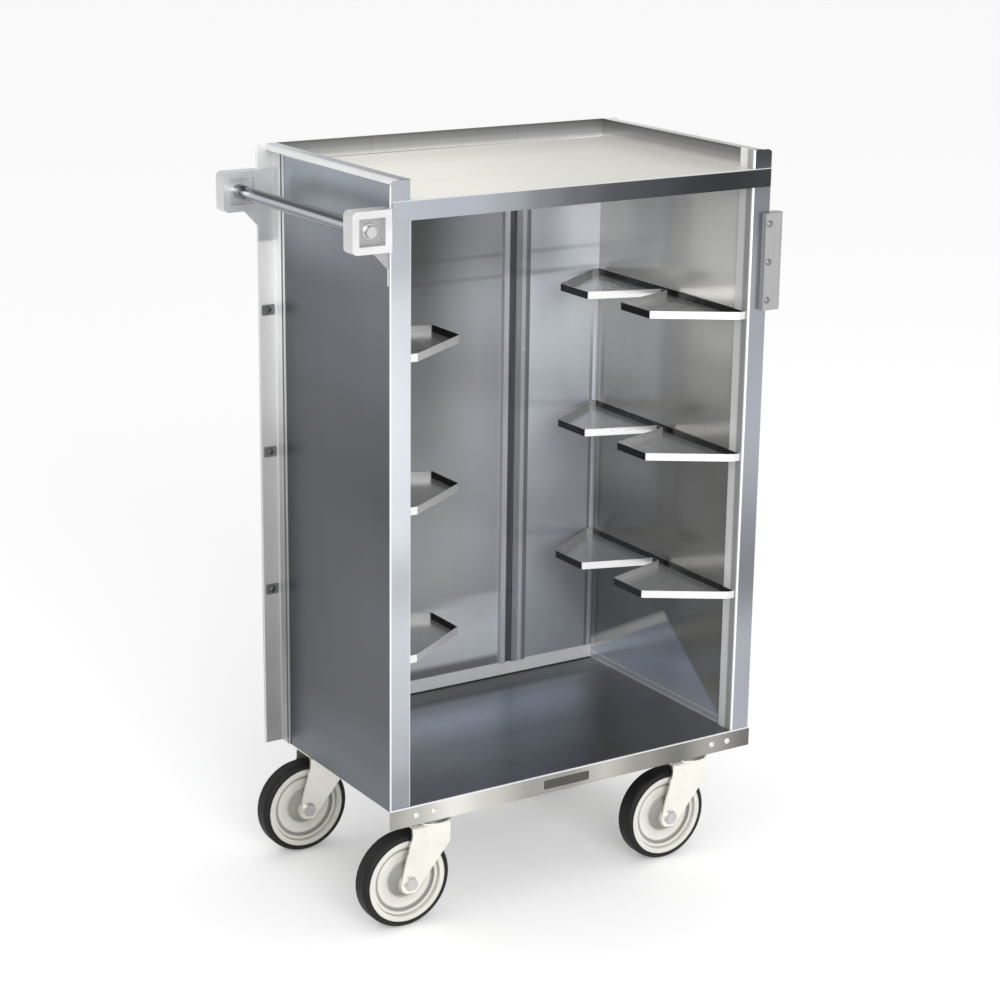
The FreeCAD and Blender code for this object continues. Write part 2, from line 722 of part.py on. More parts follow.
def leg_bumper(name, end):
    """Extruded bumper pushed over the edge of a post, with a rounded nose."""
    body = new_body(f"leg_bumper_{name}")
    inner_face = back - s.post_gauge - s.bumper_wall
    outer_face = back + s.bumper_wall
    start = wing_edge - s.bumper_overlap
    slot_end = wing_edge + s.seat_gap
    section = [
        (start, outer_face), (bumper_reach, outer_face), (bumper_reach, inner_face), (start, inner_face),
        (start, back - s.post_gauge), (slot_end, back - s.post_gauge), (slot_end, back), (start, back),
    ]
    outline = [(across, end * up) for across, up in section]
    extrude(body, "profile", "z", bumper_bottom(), bumper_bottom() + s.bumper_length, [outline])
    nose = [("z", dict(x=bumper_reach, y=end * face)) for face in (inner_face, outer_face)]
    limit = s.bumper_wall + s.post_gauge / 2 - s.seat_gap
    round_over(body, "nose", limit, *nose)
    radius = s.rivet_diameter / 2 + s.fastener_clearance
    holes = [(across, up, radius) for across, up in bumper_rivet_places()]
    low, high = sorted((end * inner_face, end * outer_face), key=lambda size: size.number)
    cut(body, "rivet_holes", "y", low, high, circles=holes)


def bumper_rivets():
    things = []
    grip = s.post_gauge + s.bumper_wall * 2
    for name, end in ENDS:
        for across, up in bumper_rivet_places():
            things += rivet(end, centre_shift + across, end * (back + s.bumper_wall), up, grip, tail=True)
    group("bumper_rivets", things)


def rivet(end, x, y, z, grip, tail):
    """One rivet whose head seats at a face; a tail head closes its far end."""
    head = cone(s.rivet_head_diameter / 2, s.rivet_head_diameter / 3, s.rivet_head_height)
    shank = put(cylinder(s.rivet_diameter / 2, grip), z=-grip)
    parts = [head, shank]
    if tail:
        closed = cylinder(s.rivet_tail_diameter / 2, s.rivet_head_height)
        parts.append(put(closed, z=-grip - s.rivet_head_height))
    return [put(face_along(fused(*parts), end), x, y, z)]


def base_rivets():
    things = []
    grip = s.shelf_gauge + s.channel_gauge
    for name, side in SIDES:
        for across in base_rivet_places():
            x = centre_shift + side * across
            things += rivet(-1, x, front - s.shelf_gauge, rivet_height, grip, tail=True)
    group("base_rivets", things)


def clip_plate():
    """Plate whose front is at its own zero height, with a hole for its screw."""
    plate = document.addObject("Part::Box", "plate")
    bind(plate, "Length", s.clip_width)
    bind(plate, "Width", s.clip_height)
    bind(plate, "Height", s.clip_thickness)
    put(plate, x=-s.clip_width / 2, y=-s.clip_height / 2)
    drill = cylinder(s.screw_diameter / 2 + s.fastener_clearance, s.clip_thickness)
    result = document.addObject("Part::Cut", "clip")
    result.Base = plate
    result.Tool = drill
    return result


def clip_screw():
    """Domed screw with its nut; zero height is under its head."""
    head = cone(s.screw_head_diameter / 2, s.screw_head_diameter / 3, s.screw_head_height)
    length = s.clip_thickness + s.post_gauge + s.screw_head_height
    shank = put(cylinder(s.screw_diameter / 2, length), z=-length)
    nut = hexagon(s.screw_head_diameter, s.screw_head_height)
    put(nut, z=-length)
    return fused(head, shank, nut)


def rear_post_clips():
    """A plate on each rear post at each ledge, held by a screw with its nut behind the post."""
    things = []
    face = back - s.post_gauge
    for name, side in SIDES:
        x = centre_shift + side * (wing_edge - s.screw_inset)
        for level in range(len(LEVELS)):
            things.append(put(face_along(clip_plate(), -1), x, face, clip_middle(level)))
            seat = face - s.clip_thickness
            things.append(put(face_along(clip_screw(), -1), x, seat, clip_middle(level)))
    group("rear_post_clips", things)


# ---------------------------------------------------------------- casters

def caster_channel(name, side):
    """Channel under the deck with closed ends; two casters are bolted to its web."""
    body = new_body(f"caster_channel_{name}")
    gauge = s.channel_gauge
    outer = leg_inner - s.seat_gap
    inner = outer - s.channel_width
    section = [
        (inner, plate_top), (outer, plate_top), (outer, deck_underside),
        (outer - s.channel_lip, deck_underside), (outer - s.channel_lip, deck_underside - gauge),
        (outer - gauge, deck_underside - gauge), (outer - gauge, channel_web_top),
        (inner + gauge, channel_web_top), (inner + gauge, deck_underside - gauge),
        (inner + s.channel_lip, deck_underside - gauge), (inner + s.channel_lip, deck_underside),
        (inner, deck_underside),
    ]
    extrude(body, "channel", "y", front, back_inner, [mirrored(side, section)])
    wall = mirrored(side, rectangle(inner, plate_top, outer, deck_underside))
    extrude(body, "front_wall", "y", front, front + gauge, [wall])
    extrude(body, "rear_wall", "y", back_inner - gauge, back_inner, [wall])
    rivets = [(side * across, rivet_height, s.rivet_diameter / 2 + s.fastener_clearance)
              for across in base_rivet_places()]
    cut(body, "rivet_holes", "y", front, front + gauge, circles=rivets)
    bolts = [(side * swivel_x + x, end * swivel_y + y, s.plate_bolt_diameter / 2 + s.fastener_clearance)
             for ending, end in ENDS for x, y in plate_bolt_places()]
    cut(body, "bolt_holes", "z", plate_top, channel_web_top, circles=bolts)


def plate_bolt_places():
    return [(across * s.plate_bolt_spread / 2, along * s.plate_bolt_track / 2)
            for across in (-1, 1) for along in (-1, 1)]


def caster_plate(name, x, y):
    body = new_body(f"caster_plate_{name}", x, y)
    half_length, half_width = s.plate_length / 2, s.plate_width / 2
    extrude(body, "plate", "z", plate_underside, plate_top,
            [rectangle(-half_length, -half_width, half_length, half_width)])
    corners = [("z", dict(x=a * half_length, y=b * half_width)) for a in (-1, 1) for b in (-1, 1)]
    round_over(body, "corners", s.plate_corner_radius, *corners)
    holes = [(a, b, s.plate_bolt_diameter / 2 + s.fastener_clearance) for a, b in plate_bolt_places()]
    holes.append((0, 0, s.kingpin_diameter / 2 + s.running_clearance))
    cut(body, "holes", "z", plate_underside, plate_top, circles=holes)


def caster_plate_bolts(places):
    """Hexagon bolts from below, through plate and channel, with nuts inside the channel."""
    things = []
    length = channel_web_top + s.plate_bolt_stub - plate_underside
    for name, x, y in places:
        for across, along in plate_bolt_places():
            head = hexagon(s.plate_bolt_across, s.plate_bolt_head)
            put(head, z=plate_underside - s.plate_bolt_head)
            shank = put(cylinder(s.plate_bolt_diameter / 2, length), z=plate_underside)
            nut = put(hexagon(s.plate_bolt_across, s.plate_nut), z=channel_web_top)
            things.append(put(fused(head, shank, nut), x + across, y + along, 0))
    group("caster_plate_bolts", things)


def kingpins(places):
    """Pins that the forks swivel on, riveted over under each fork's crown."""
    things = []
    start = crown_underside - s.seat_gap
    low = start - s.kingpin_head_height
    for name, x, y in places:
        head = cone(s.kingpin_head_diameter / 3, s.kingpin_head_diameter / 2, s.kingpin_head_height)
        put(head, z=low)
        pin = put(cylinder(s.kingpin_diameter / 2, plate_top - start), z=start)
        things.append(put(fused(head, pin), x, y, 0))
    group("caster_kingpins", things)


def swivel_race(name, x, y):
    """Ring that holds the swivel balls between plate and crown."""
    body = new_body(f"swivel_race_{name}", x, y)
    high = crown_top + s.race_height
    extrude(body, "ring", "z", crown_top, high, circles=[(0, 0, s.race_diameter / 2)])
    edge = [f"Edge{index}" for index, item in enumerate(body.Tip.Shape.Edges, start=1)
            if item.BoundBox.ZMin > high.number - 0.001]
    bevel_from = body.Tip
    bevel = body.newObject("PartDesign::Chamfer", "bevel")
    bevel.Base = (bevel_from, edge)
    bind(bevel, "Size", s.race_chamfer)
    document.recompute()
    clear = s.kingpin_diameter / 2 + s.seat_gap
    cut(body, "bore", "z", crown_top, high, circles=[(0, 0, clear)])


def fork(name, x, y):
    """Pressed fork: a crown with two legs that sweep back and taper to the axle."""
    body = new_body(f"fork_{name}", x, y)
    half_inner = s.fork_inner_width / 2
    half_outer = half_inner + s.fork_gauge
    foot = wheel_radius - s.fork_eye_radius
    yoke = [
        (half_outer, foot), (half_outer, crown_top),
        (-half_outer, crown_top), (-half_outer, foot),
        (-half_inner, foot), (-half_inner, crown_underside),
        (half_inner, crown_underside), (half_inner, foot),
    ]
    rear = -s.trail - s.fork_eye_radius
    extrude(body, "yoke", "x", rear, s.fork_front, [yoke])
    outer = [("x", dict(y=sign * half_outer, z=crown_top)) for sign in (-1, 1)]
    inner = [("x", dict(y=sign * half_inner, z=crown_underside)) for sign in (-1, 1)]
    round_over(body, "outer_bends", s.fork_bend_radius + s.fork_gauge, *outer)
    round_over(body, "inner_bends", s.fork_bend_radius, *inner)
    toe = -s.trail + s.fork_eye_radius / 2
    shoulder = crown_top - s.fork_shoulder
    behind = [(rear, crown_top), (-s.fork_rear, crown_top), (-s.fork_rear, (shoulder + crown_top) / 2),
              (rear, wheel_radius)]
    ahead = [(s.fork_front, shoulder), (toe, foot), (s.fork_front, foot)]
    cut(body, "leg_outline", "y", -half_outer, half_outer, [behind, ahead])
    round_over(body, "eye_back", s.fork_eye_radius * 0.95, ("y", dict(x=rear, z=foot)))
    round_over(body, "eye_front", s.fork_eye_radius * 0.6, ("y", dict(x=toe, z=foot)))
    lip = rectangle(-half_inner, crown_underside - s.fork_lip, half_inner, crown_top)
    extrude(body, "front_lip", "x", s.fork_front - s.fork_gauge, s.fork_front, [lip])
    leading = [("z", dict(x=s.fork_front, y=sign * half_outer)) for sign in (-1, 1)]
    round_over(body, "leading_edges", s.fork_edge_radius, *leading)
    extrude(body, "crown", "z", crown_underside, crown_top, circles=[(0, 0, s.crown_diameter / 2)])
    axle = (-s.trail, wheel_radius, s.axle_diameter / 2 + s.fastener_clearance)
    cut(body, "axle_hole", "y", -half_outer, half_outer, circles=[axle])
    pin = (0, 0, s.kingpin_diameter / 2 + s.running_clearance)
    cut(body, "kingpin_hole", "z", crown_underside, crown_top, circles=[pin])


def axle(name, x, y):
    """Axle bolt with its head at the front leg, and its nut at the back leg."""
    half = s.fork_inner_width / 2 + s.fork_gauge
    length = half * 2 + s.axle_nut_height + s.axle_end
    head = put(hexagon(s.axle_head_across, s.axle_head_height), z=length)
    shank = cylinder(s.axle_diameter / 2, length)
    bolt = face_along(fused(head, shank), -1)
    put(bolt, x - s.trail, y + half + s.axle_nut_height + s.axle_end, wheel_radius)
    keep(bolt, f"axle_bolt_{name}")
    nut = holed(hexagon(s.axle_head_across, s.axle_nut_height), s.axle_diameter / 2 + s.running_clearance,
                s.axle_nut_height)
    put(face_along(nut, 1), x - s.trail, y + half, wheel_radius)
    keep(nut, f"axle_nut_{name}")


def wheel_core(name, x, y):
    """Moulded wheel: hub, dished web with a raised ridge, and rim."""
    body = new_body(f"wheel_core_{name}", x - s.trail, y, wheel_radius)
    hub_half = s.fork_inner_width / 2 - s.hub_clearance
    bore = s.axle_diameter / 2 + s.running_clearance
    rim_outer = wheel_radius - s.tyre_thickness
    rim_inner = rim_outer - s.rim_thickness
    web_half = s.web_thickness / 2
    ridge_inner = (s.ridge_diameter - s.ridge_width) / 2
    ridge_outer = (s.ridge_diameter + s.ridge_width) / 2
    ridge_half = web_half + s.ridge_height
    hub = s.hub_diameter / 2
    half = [
        (bore, hub_half), (hub, hub_half), (hub + s.web_slope, web_half), (ridge_inner, web_half),
        (ridge_inner, ridge_half), (ridge_outer, ridge_half), (ridge_outer, web_half),
        (rim_inner, web_half), (rim_inner, s.rim_width / 2), (rim_outer, s.rim_width / 2),
    ]
    turn(body, "moulding", [(across, -up) for across, up in half] + list(reversed(half)))


def tyre(name, x, y):
    body = new_body(f"tyre_{name}", x - s.trail, y, wheel_radius)
    seat = wheel_radius - s.tyre_thickness
    half_width = s.tyre_width / 2
    turn(body, "ring", rectangle(seat, -half_width, wheel_radius, half_width))
    tread = [f"Edge{index}" for index, item in enumerate(body.Tip.Shape.Edges, start=1)
             if len(item.Vertexes) < 2 and abs(item.Curve.Radius - wheel_radius.number) < 0.001]
    shoulder_from = body.Tip
    shoulders = body.newObject("PartDesign::Fillet", "shoulders")
    shoulders.Base = (shoulder_from, tread)
    bind(shoulders, "Radius", s.tyre_shoulder)
    document.recompute()


def cabinet():
    for name, side in SIDES:
        corner_post_front(name, side)
        corner_post_back(name, side)
        side_panel(name, side)
        seam_strip(name, side)
        caster_channel(name, side)
        for level in range(len(LEVELS)):
            ledge(name, side, level)
    back_panels()
    top_shelf()
    base_shelf()
    base_rivets()
    rear_post_clips()


def handle_and_bumpers():
    handle_bar()
    handle_bolts()
    for name, end in ENDS:
        handle_bracket(name, end)
        leg_bumper(name, end)
    bumper_rivets()


def casters():
    places = [(f"{ending}_{name}", centre_shift + side * swivel_x, end * swivel_y)
              for ending, end in ENDS for name, side in SIDES]
    for place in places:
        caster_plate(*place)
        swivel_race(*place)
        fork(*place)
        axle(*place)
        wheel_core(*place)
        tyre(*place)
    caster_plate_bolts(places)
    kingpins(places)


def check_and_write():
    document.recompute()
    for thing in document.Objects:
        if "Invalid" in thing.State or "Error" in thing.State:
            raise RuntimeError(f"{thing.Label} failed: {thing.State}")
    os.makedirs("parts", exist_ok=True)
    for piece in pieces:
        if piece.Shape.isNull() or not piece.Shape.isValid():
            raise RuntimeError(f"{piece.Label} has no valid shape")
        piece.Shape.exportStep(f"parts/{piece.Label}.step")


cabinet()
handle_and_bumpers()
casters()
check_and_write()
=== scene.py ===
import math

import bmesh
import bpy
from bpy.props import FloatProperty, FloatVectorProperty, PointerProperty
from mathutils import Matrix, Vector


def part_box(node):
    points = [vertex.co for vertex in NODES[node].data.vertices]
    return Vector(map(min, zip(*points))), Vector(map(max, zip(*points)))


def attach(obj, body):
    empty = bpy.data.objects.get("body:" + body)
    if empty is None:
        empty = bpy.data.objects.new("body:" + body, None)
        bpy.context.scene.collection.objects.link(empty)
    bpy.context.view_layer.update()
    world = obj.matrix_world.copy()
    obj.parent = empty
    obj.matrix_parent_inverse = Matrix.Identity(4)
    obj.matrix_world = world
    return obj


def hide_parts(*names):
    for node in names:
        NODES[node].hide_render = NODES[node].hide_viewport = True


# Looks for an open-fronted stainless steel tray cart: its finishes, its fasteners and a plain studio.

bl_info = {
    "name": "Tray cart finishes",
    "version": (1, 1, 0),
    "blender": (4, 5, 0),
    "location": "View3D > Sidebar > Tray cart",
    "description": "Finishes, fasteners and studio for a stainless steel tray cart",
    "category": "Object",
}

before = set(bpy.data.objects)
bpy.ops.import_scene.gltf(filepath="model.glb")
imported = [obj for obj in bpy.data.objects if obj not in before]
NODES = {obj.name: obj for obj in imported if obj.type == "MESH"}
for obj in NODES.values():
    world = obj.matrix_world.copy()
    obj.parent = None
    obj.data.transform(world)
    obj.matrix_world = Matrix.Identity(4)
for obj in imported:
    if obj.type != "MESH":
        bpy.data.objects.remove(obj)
MM = 0.001
CORNERS = ("front_left", "front_right", "back_left", "back_right")
SIDES = ("left", "right")
LEVELS = ("bottom", "middle", "top")
OUT_FRONT = Vector((0, -1, 0))
OUT_BACK = Vector((0, 1, 0))
UP = Vector((0, 0, 1))
DOWN = Vector((0, 0, -1))


def middle_of(*names):
    """Middle of one CAD node's box, or the mean middle of several."""
    return sum((low + high for low, high in map(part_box, names)), Vector()) / (2 * len(names))


# Places that the finishes are drawn to, in metres in the cart's own frame. First the ones along x.
LEFT_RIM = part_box("left_side_panel")[0].x
RIGHT_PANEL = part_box("right_side_panel")[0].x
CENTRE = middle_of("left_side_panel", "right_side_panel").x

# From the centre out to a seam, and to the edge and the bend of a front post's wing.
SEAM = CENTRE - middle_of("back_seam_strip_left").x
POST_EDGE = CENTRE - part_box("post_front_left")[0].x - 0.5 * MM
POST_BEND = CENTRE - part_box("post_front_left")[1].x + 1.2 * MM

# Along y: behind the front flanges, the deck's upstand, the posts' legs and a bracket's recess.
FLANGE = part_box("base_shelf")[0].y + 2.0 * MM
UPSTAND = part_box("base_shelf")[1].y - 3.8 * MM
POST_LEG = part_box("post_front_left")[0].y + 13.5 * MM
LEG_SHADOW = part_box("post_back_left")[1].y - 18.0 * MM
RECESS = abs(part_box("handle_bracket_front")[0].y) - 1.7 * MM

# Along z: the deck's front bend, the top, the foot of the rims and the marks reflected in the back.
DECK_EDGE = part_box("base_shelf")[0].z + 26.5 * MM
TOP_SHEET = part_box("top_shelf")[1].z
RIM_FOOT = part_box("left_side_panel")[1].z - 14.0 * MM
REFLECTIONS = (792.0 * MM, 762.0 * MM)

# The deck's reflection in the right side: two edges that fall from these heights at y = 0.
BACK_EDGE, BACK_FALL = 300.4 * MM, 0.52
FRONT_EDGE, FRONT_FALL = 310.3 * MM, 0.83

# Middle between the front wheels, and from there out to each of them.
WHEEL = middle_of("wheel_core_front_left", "wheel_core_front_right")
WHEEL_REACH = abs(WHEEL.x - middle_of("wheel_core_front_left").x)

# Thinner than these, a solid is a clip and not its screw, or a washer and not its bolt.
CLIP_LIMIT = 2.0 * MM
WASHER_LIMIT = 3.0 * MM

# The nameplate's middle above the base's lower edge, its round corners and its bevel.
NAMEPLATE_RISE = 12.0 * MM
NAMEPLATE_CORNER = 1.5 * MM
NAMEPLATE_BEVEL = 0.4 * MM

# The studio, in metres, and the width of the camera's frame in millimetres.
FLOOR_RADIUS = 60.0
LAMP_PLACE = (-1.2, -4.6, 2.1)
LAMP_AIM = (0.0, 0.0, 0.5)
LAMP_SIZE = 3.0
FRAME_WIDTH = 36.0
FAR_LIMIT = 200.0


# ------------------------------------------------------------------ node trees

def set_stops(ramp, stops):
    ramp.interpolation = "EASE"
    while len(ramp.elements) > 1:
        ramp.elements.remove(ramp.elements[0])
    ramp.elements[0].position = stops[0][0]
    ramp.elements[0].color = (*stops[0][1], 1)
    for position, colour in stops[1:]:
        ramp.elements.new(position).color = (*colour, 1)


def socket_of(sockets, key):
    """A socket by its number, its identifier or its name."""
    if isinstance(key, int):
        return sockets[key]
    for socket in sockets:
        if socket.identifier == key:
            return socket
    return sockets[key]


class Wire:
    """A socket that takes part in arithmetic; every operator adds one Math node."""

    def __init__(self, board, socket):
        self.board = board
        self.socket = socket

    def math(self, operation, *values, clamp=False):
        return self.board.shader("Math", dict(operation=operation, use_clamp=clamp), dict(enumerate(values)))

    def __add__(self, other):
        return self.math("ADD", self, other)

    __radd__ = __add__

    def __sub__(self, other):
        return self.math("SUBTRACT", self, other)

    def __rsub__(self, other):
        return self.math("SUBTRACT", other, self)

    def __mul__(self, other):
        return self.math("MULTIPLY", self, other)

    __rmul__ = __mul__

    def __neg__(self):
        return self.math("MULTIPLY", self, -1.0)

    def __abs__(self):
        return self.math("ABSOLUTE", self)

    def __gt__(self, other):
        return self.math("GREATER_THAN", self, other)

    def __lt__(self, other):
        return self.math("LESS_THAN", self, other)

    def root(self):
        return self.math("SQRT", self)

    def clamped(self):
        return self.math("ADD", self, 0.0, clamp=True)


class Board:
    """A node tree with one method that makes any node: its settings first, then its inputs."""

    def __init__(self, tree):
        self.tree = tree

    def node(self, kind, settings=None, values=None, output=0):
        made = self.tree.nodes.new(kind)
        for key, value in (settings or {}).items():
            if key == "stops":
                set_stops(made.color_ramp, value)
            else:
                setattr(made, key, value)
        for key, value in (values or {}).items():
            for item in value if isinstance(value, list) else [value]:
                self.feed(socket_of(made.inputs, key), item)
        return Wire(self, socket_of(made.outputs, output)) if made.outputs else None

    def feed(self, socket, value):
        if isinstance(value, Wire):
            self.tree.links.new(value.socket, socket)
        else:
            socket.default_value = value

    def shader(self, kind, settings=None, values=None, output=0):
        return self.node(f"ShaderNode{kind}", settings, values, output)


class Bench(Board):
    """One material's node tree, with short names for the few nodes used most."""

    def __init__(self, name):
        self.material = bpy.data.materials.new(name)
        self.material.use_nodes = True
        super().__init__(self.material.node_tree)
        self.tree.nodes.clear()
        self.spot = self.shader("TexCoord", output="Object")

    def parts(self, vector, axes):
        """A vector's numbers along the named axes: a list, or the number itself where there is one."""
        split = [self.shader("SeparateXYZ", values={0: vector}, output=axis) for axis in axes.upper()]
        return split if len(split) > 1 else split[0]

    def place(self, axes):
        """Object coordinates, in metres in the cart's own frame."""
        return self.parts(self.spot, axes)

    def facing(self, axes):
        """The direction the surface faces."""
        return self.parts(self.shader("NewGeometry", output="Normal"), axes)

    def noise(self, scales, detail=3.0, roughness=0.5, offset=(0, 0, 0)):
        """Noise stretched by a scale for each axis; about 0.5 on average."""
        stretched = self.shader("VectorMath", dict(operation="MULTIPLY_ADD"),
                                {0: self.spot, 1: scales, 2: offset})
        return self.shader("TexNoise", values={"Vector": stretched, "Scale": 1.0, "Detail": detail,
                                               "Roughness": roughness})

    def fade(self, value, start, end, smooth=True):
        """0 before start, 1 after end."""
        kind = "SMOOTHSTEP" if smooth else "LINEAR"
        if start > end:
            return 1.0 - self.fade(value, end, start, smooth)
        return self.shader("MapRange", dict(interpolation_type=kind, clamp=True),
                           {"Value": value, "From Min": start, "From Max": end})

    def past(self, value, edge):
        """0 below an edge and 1 above it, over one millimetre."""
        return self.fade(value, edge - 0.5 * MM, edge + 0.5 * MM)

    def line(self, value, middle, half_width, soft):
        """1 within half_width of the middle, falling to 0 over the soft distance."""
        return 1.0 - self.fade(abs(value - middle), half_width, half_width + soft)

    def blend(self, factor, first, second, mode="MIX"):
        values = {"Factor_Float": factor, "A_Color": self.colour(first), "B_Color": self.colour(second)}
        return self.shader("Mix", dict(data_type="RGBA", blend_type=mode, clamp_factor=True), values,
                           output="Result_Color")

    @staticmethod
    def colour(value):
        return value if isinstance(value, Wire) else (*tuple(value)[:3], 1.0)

    def ramp(self, value, tint, *stops):
        """Greys along a value: each stop is a place and a level from 0 to 255; the tint colours them."""
        start, end = stops[0][0], stops[-1][0]
        reach = self.fade(value, start, end, smooth=False)
        places = [((place - start) / (end - start), grey(level, tint)) for place, level in stops]
        return self.shader("ValToRGB", dict(stops=places), {0: reach})

    def shaded(self, colour, factor):
        """A colour made lighter or darker by a number."""
        neutral = self.shader("CombineColor", values={0: factor, 1: factor, 2: factor})
        return self.blend(1.0, colour, neutral, mode="MULTIPLY")

    def bump(self, height, strength, distance=0.0004):
        return self.shader("Bump", values={"Height": height, "Strength": strength, "Distance": distance})

    def finish(self, **sockets):
        """The surface: named sockets of one Principled shader."""
        names = {key.replace("_", " "): value for key, value in sockets.items()}
        names["Base Color"] = self.colour(names["Base Color"])
        surface = self.shader("BsdfPrincipled", values=names)
        self.shader("OutputMaterial", values={"Surface": surface})
        return self.material


def grey(level, tint=(1, 1, 1)):
    """A display level from 0 to 255 as a linear colour."""
    linear = ((level / 255 + 0.055) / 1.055) ** 2.4
    return tuple(linear * part for part in tint)


# ------------------------------------------------------------------ finishes

GRAIN = {
    "x": (8.0, 1500.0, 1500.0),
    "y": (1500.0, 8.0, 1500.0),
    "z": (1500.0, 1500.0, 8.0),
}
STREAK = {
    "x": (1.3, 40.0, 40.0),
    "y": (40.0, 1.3, 40.0),
    "z": (40.0, 40.0, 1.3),
}
# Tints for the painted reflections and shade; those above 1 paint extra light onto the cart's back and
# inside.
NEUTRAL = (1.0, 1.0, 1.0)
COOL = (0.93, 0.98, 1.08)
BLUE = (0.86, 0.96, 1.14)
WARM = (1.03, 1.01, 0.93)
SHADE = (0.69, 0.75, 0.84)
DIM = (0.88, 0.89, 0.91)
BLUISH = (1.22, 1.27, 1.36)
PALE = (0.78, 0.82, 0.88)
REAR = (1.22, 1.22, 1.20)
REAR_LEG = (1.55, 1.58, 1.60)
RIGHT_INSIDE = (1.80, 1.77, 1.72)
BLUISH_RIGHT = (1.66, 1.75, 1.92)
BLUISH_CORNER = (2.00, 2.12, 2.32)
WARMISH = (2.15, 2.12, 2.00)


def steel(name, shading, along="z", roughness=0.3, wear=0.5, metallic=0.85):
    """Satin stainless sheet: fine brushing, wide soft streaks, smears, a few hairline scratches.

    shading gets the bench and returns the colour, with the painted reflections and shade of most finishes,
    before wear."""
    bench = Bench(name)
    colour = shading(bench)
    grain = bench.noise(GRAIN[along], detail=2.0)
    streak = bench.noise(STREAK[along], detail=2.0, offset=(3.1, 7.7, 1.9))
    smear = bench.noise((9.0, 9.0, 6.0), detail=5.0, roughness=0.6, offset=(11.0, 2.0, 5.0))
    path = bench.noise((60.0, 75.0, 50.0), detail=1.0, offset=(0.4, 9.0, 4.0))
    scratch = (1.0 - bench.fade(abs(path - 0.5), 0.0, 0.0025)) * bench.fade(smear, 0.54, 0.64)
    light = (grain - 0.5) * 0.05 + (streak - 0.5) * (0.20 * wear) + (smear - 0.5) * (0.38 * wear)
    rough = (grain - 0.5) * 0.05 + (smear - 0.5) * (0.22 * wear) + scratch * 0.03 + roughness
    if callable(metallic):
        metallic = metallic(bench)
    bump = bench.bump(grain * 0.9 + scratch * 0.1, 0.02, 0.0002)
    return bench.finish(Base_Color=bench.shaded(colour, light + scratch * 0.06 + 1.0), Metallic=metallic,
                        Roughness=rough.clamped(), Normal=bump)


def dress(material, *names):
    """Give CAD nodes one material."""
    for name in names:
        mesh = NODES[name].data
        mesh.materials.clear()
        mesh.materials.append(material)


def left_side_tone(bench):
    """Painted reflections and shade: outside, slate with a darker belt and a lighter foot; the rim pale at
    the back, with a painted highlight along its outer edge; inside, mid grey, darker towards the bottom.
    """
    x, y, z = bench.place("xyz")
    # Painted reflections down the outside, one ramp at the back and one at the front.
    back = bench.ramp(z, SHADE, (0.17, 120), (0.21, 107), (0.26, 95), (0.40, 92), (0.56, 92), (0.64, 99),
                      (0.72, 107), (0.80, 111), (0.88, 160), (0.94, 200))
    front = bench.ramp(z, SHADE, (0.17, 124), (0.21, 114), (0.28, 100), (0.40, 105), (0.48, 98), (0.56, 85),
                       (0.64, 97), (0.72, 114), (0.80, 128), (0.88, 138), (0.94, 190))
    outside = bench.blend(bench.fade(y, 0.10, -0.15), back, front)
    plain = bench.ramp(z, DIM, (0.17, 96), (0.55, 128), (0.94, 140))
    # The rim: a painted reflection, pale at the back, and a painted highlight along its outer edge.
    rim = bench.ramp(y, COOL, (-0.172, 150), (0.0, 175), (0.172, 215))
    rim = bench.blend(bench.line(x, LEFT_RIM, 1.2 * MM, 1.2 * MM), rim, grey(240))
    tone = bench.blend(bench.facing("x") > 0.5, outside, plain)
    return bench.blend(bench.past(z, RIM_FOOT), tone, rim)


def right_side_tone(bench):
    """Painted reflections: inside, pale above, dark below; the foot reflects the deck: a slate triangle with
    a pale back edge; a pale line along the joint with the deck, reflected just above it.
    """
    y, z = bench.place("yz")
    nx, nz = bench.facing("xz")
    # Painted reflections up the inside, one ramp at the back and one at the front.
    back = bench.ramp(z, RIGHT_INSIDE, (0.18, 118), (0.25, 92), (0.33, 98), (0.42, 92), (0.50, 120),
                      (0.58, 126), (0.66, 130), (0.80, 136), (0.94, 124))
    front = bench.ramp(z, WARMISH, (0.18, 122), (0.25, 94), (0.33, 87), (0.42, 100), (0.50, 94), (0.58, 110),
                       (0.66, 138), (0.72, 166), (0.82, 184), (0.94, 180))
    inside = bench.blend(bench.fade(y, 0.10, -0.12), back, front)
    # The deck's painted reflection, between two edges that fall towards the back and the front.
    below_back = BACK_EDGE - z - y * BACK_FALL
    below_front = FRONT_EDGE - z + y * FRONT_FALL
    deck_reflection = bench.fade(below_back, 0.0, 12.0 * MM) * bench.fade(below_front, 0.0, 10.0 * MM)
    slate = bench.ramp(z, BLUE, (0.18, 212), (0.22, 196), (0.26, 174))
    inside = bench.blend(deck_reflection * 0.85, inside, slate)
    reflected_back_edge = bench.fade(below_back, 25.0 * MM, 18.0 * MM)
    inside = bench.blend(deck_reflection * reflected_back_edge, inside, grey(215, WARM))
    # A pale line along the joint with the deck, and its painted reflection just above.
    joint = bench.line(z, DECK_EDGE + 1.0 * MM, 1.0 * MM, 2.0 * MM)
    its_reflection = bench.line(z, DECK_EDGE + 10.0 * MM, 1.0 * MM, 1.5 * MM) * deck_reflection
    inside = bench.blend((joint + its_reflection).clamped(), inside, grey(228))
    inside = bench.blend(bench.past(z, TOP_SHEET), inside, rim_tone(bench, z))
    outside = bench.ramp(z, COOL, (0.17, 150), (0.45, 168), (0.70, 140), (0.94, 172))
    rim = bench.ramp(y, NEUTRAL, (-0.172, 176), (0.0, 178), (0.172, 222))
    tone = bench.blend(nx > 0.5, inside, outside)
    return bench.blend(bench.past(z, RIM_FOOT) * (nz > 0.5), tone, rim)


def rim_tone(bench, z):
    """The inner side of the rim round the top, in painted shade: dark along its edge, pale by the shelf."""
    return bench.ramp(z, NEUTRAL, (0.945, 205), (0.952, 160), (0.961, 128), (0.968, 100))


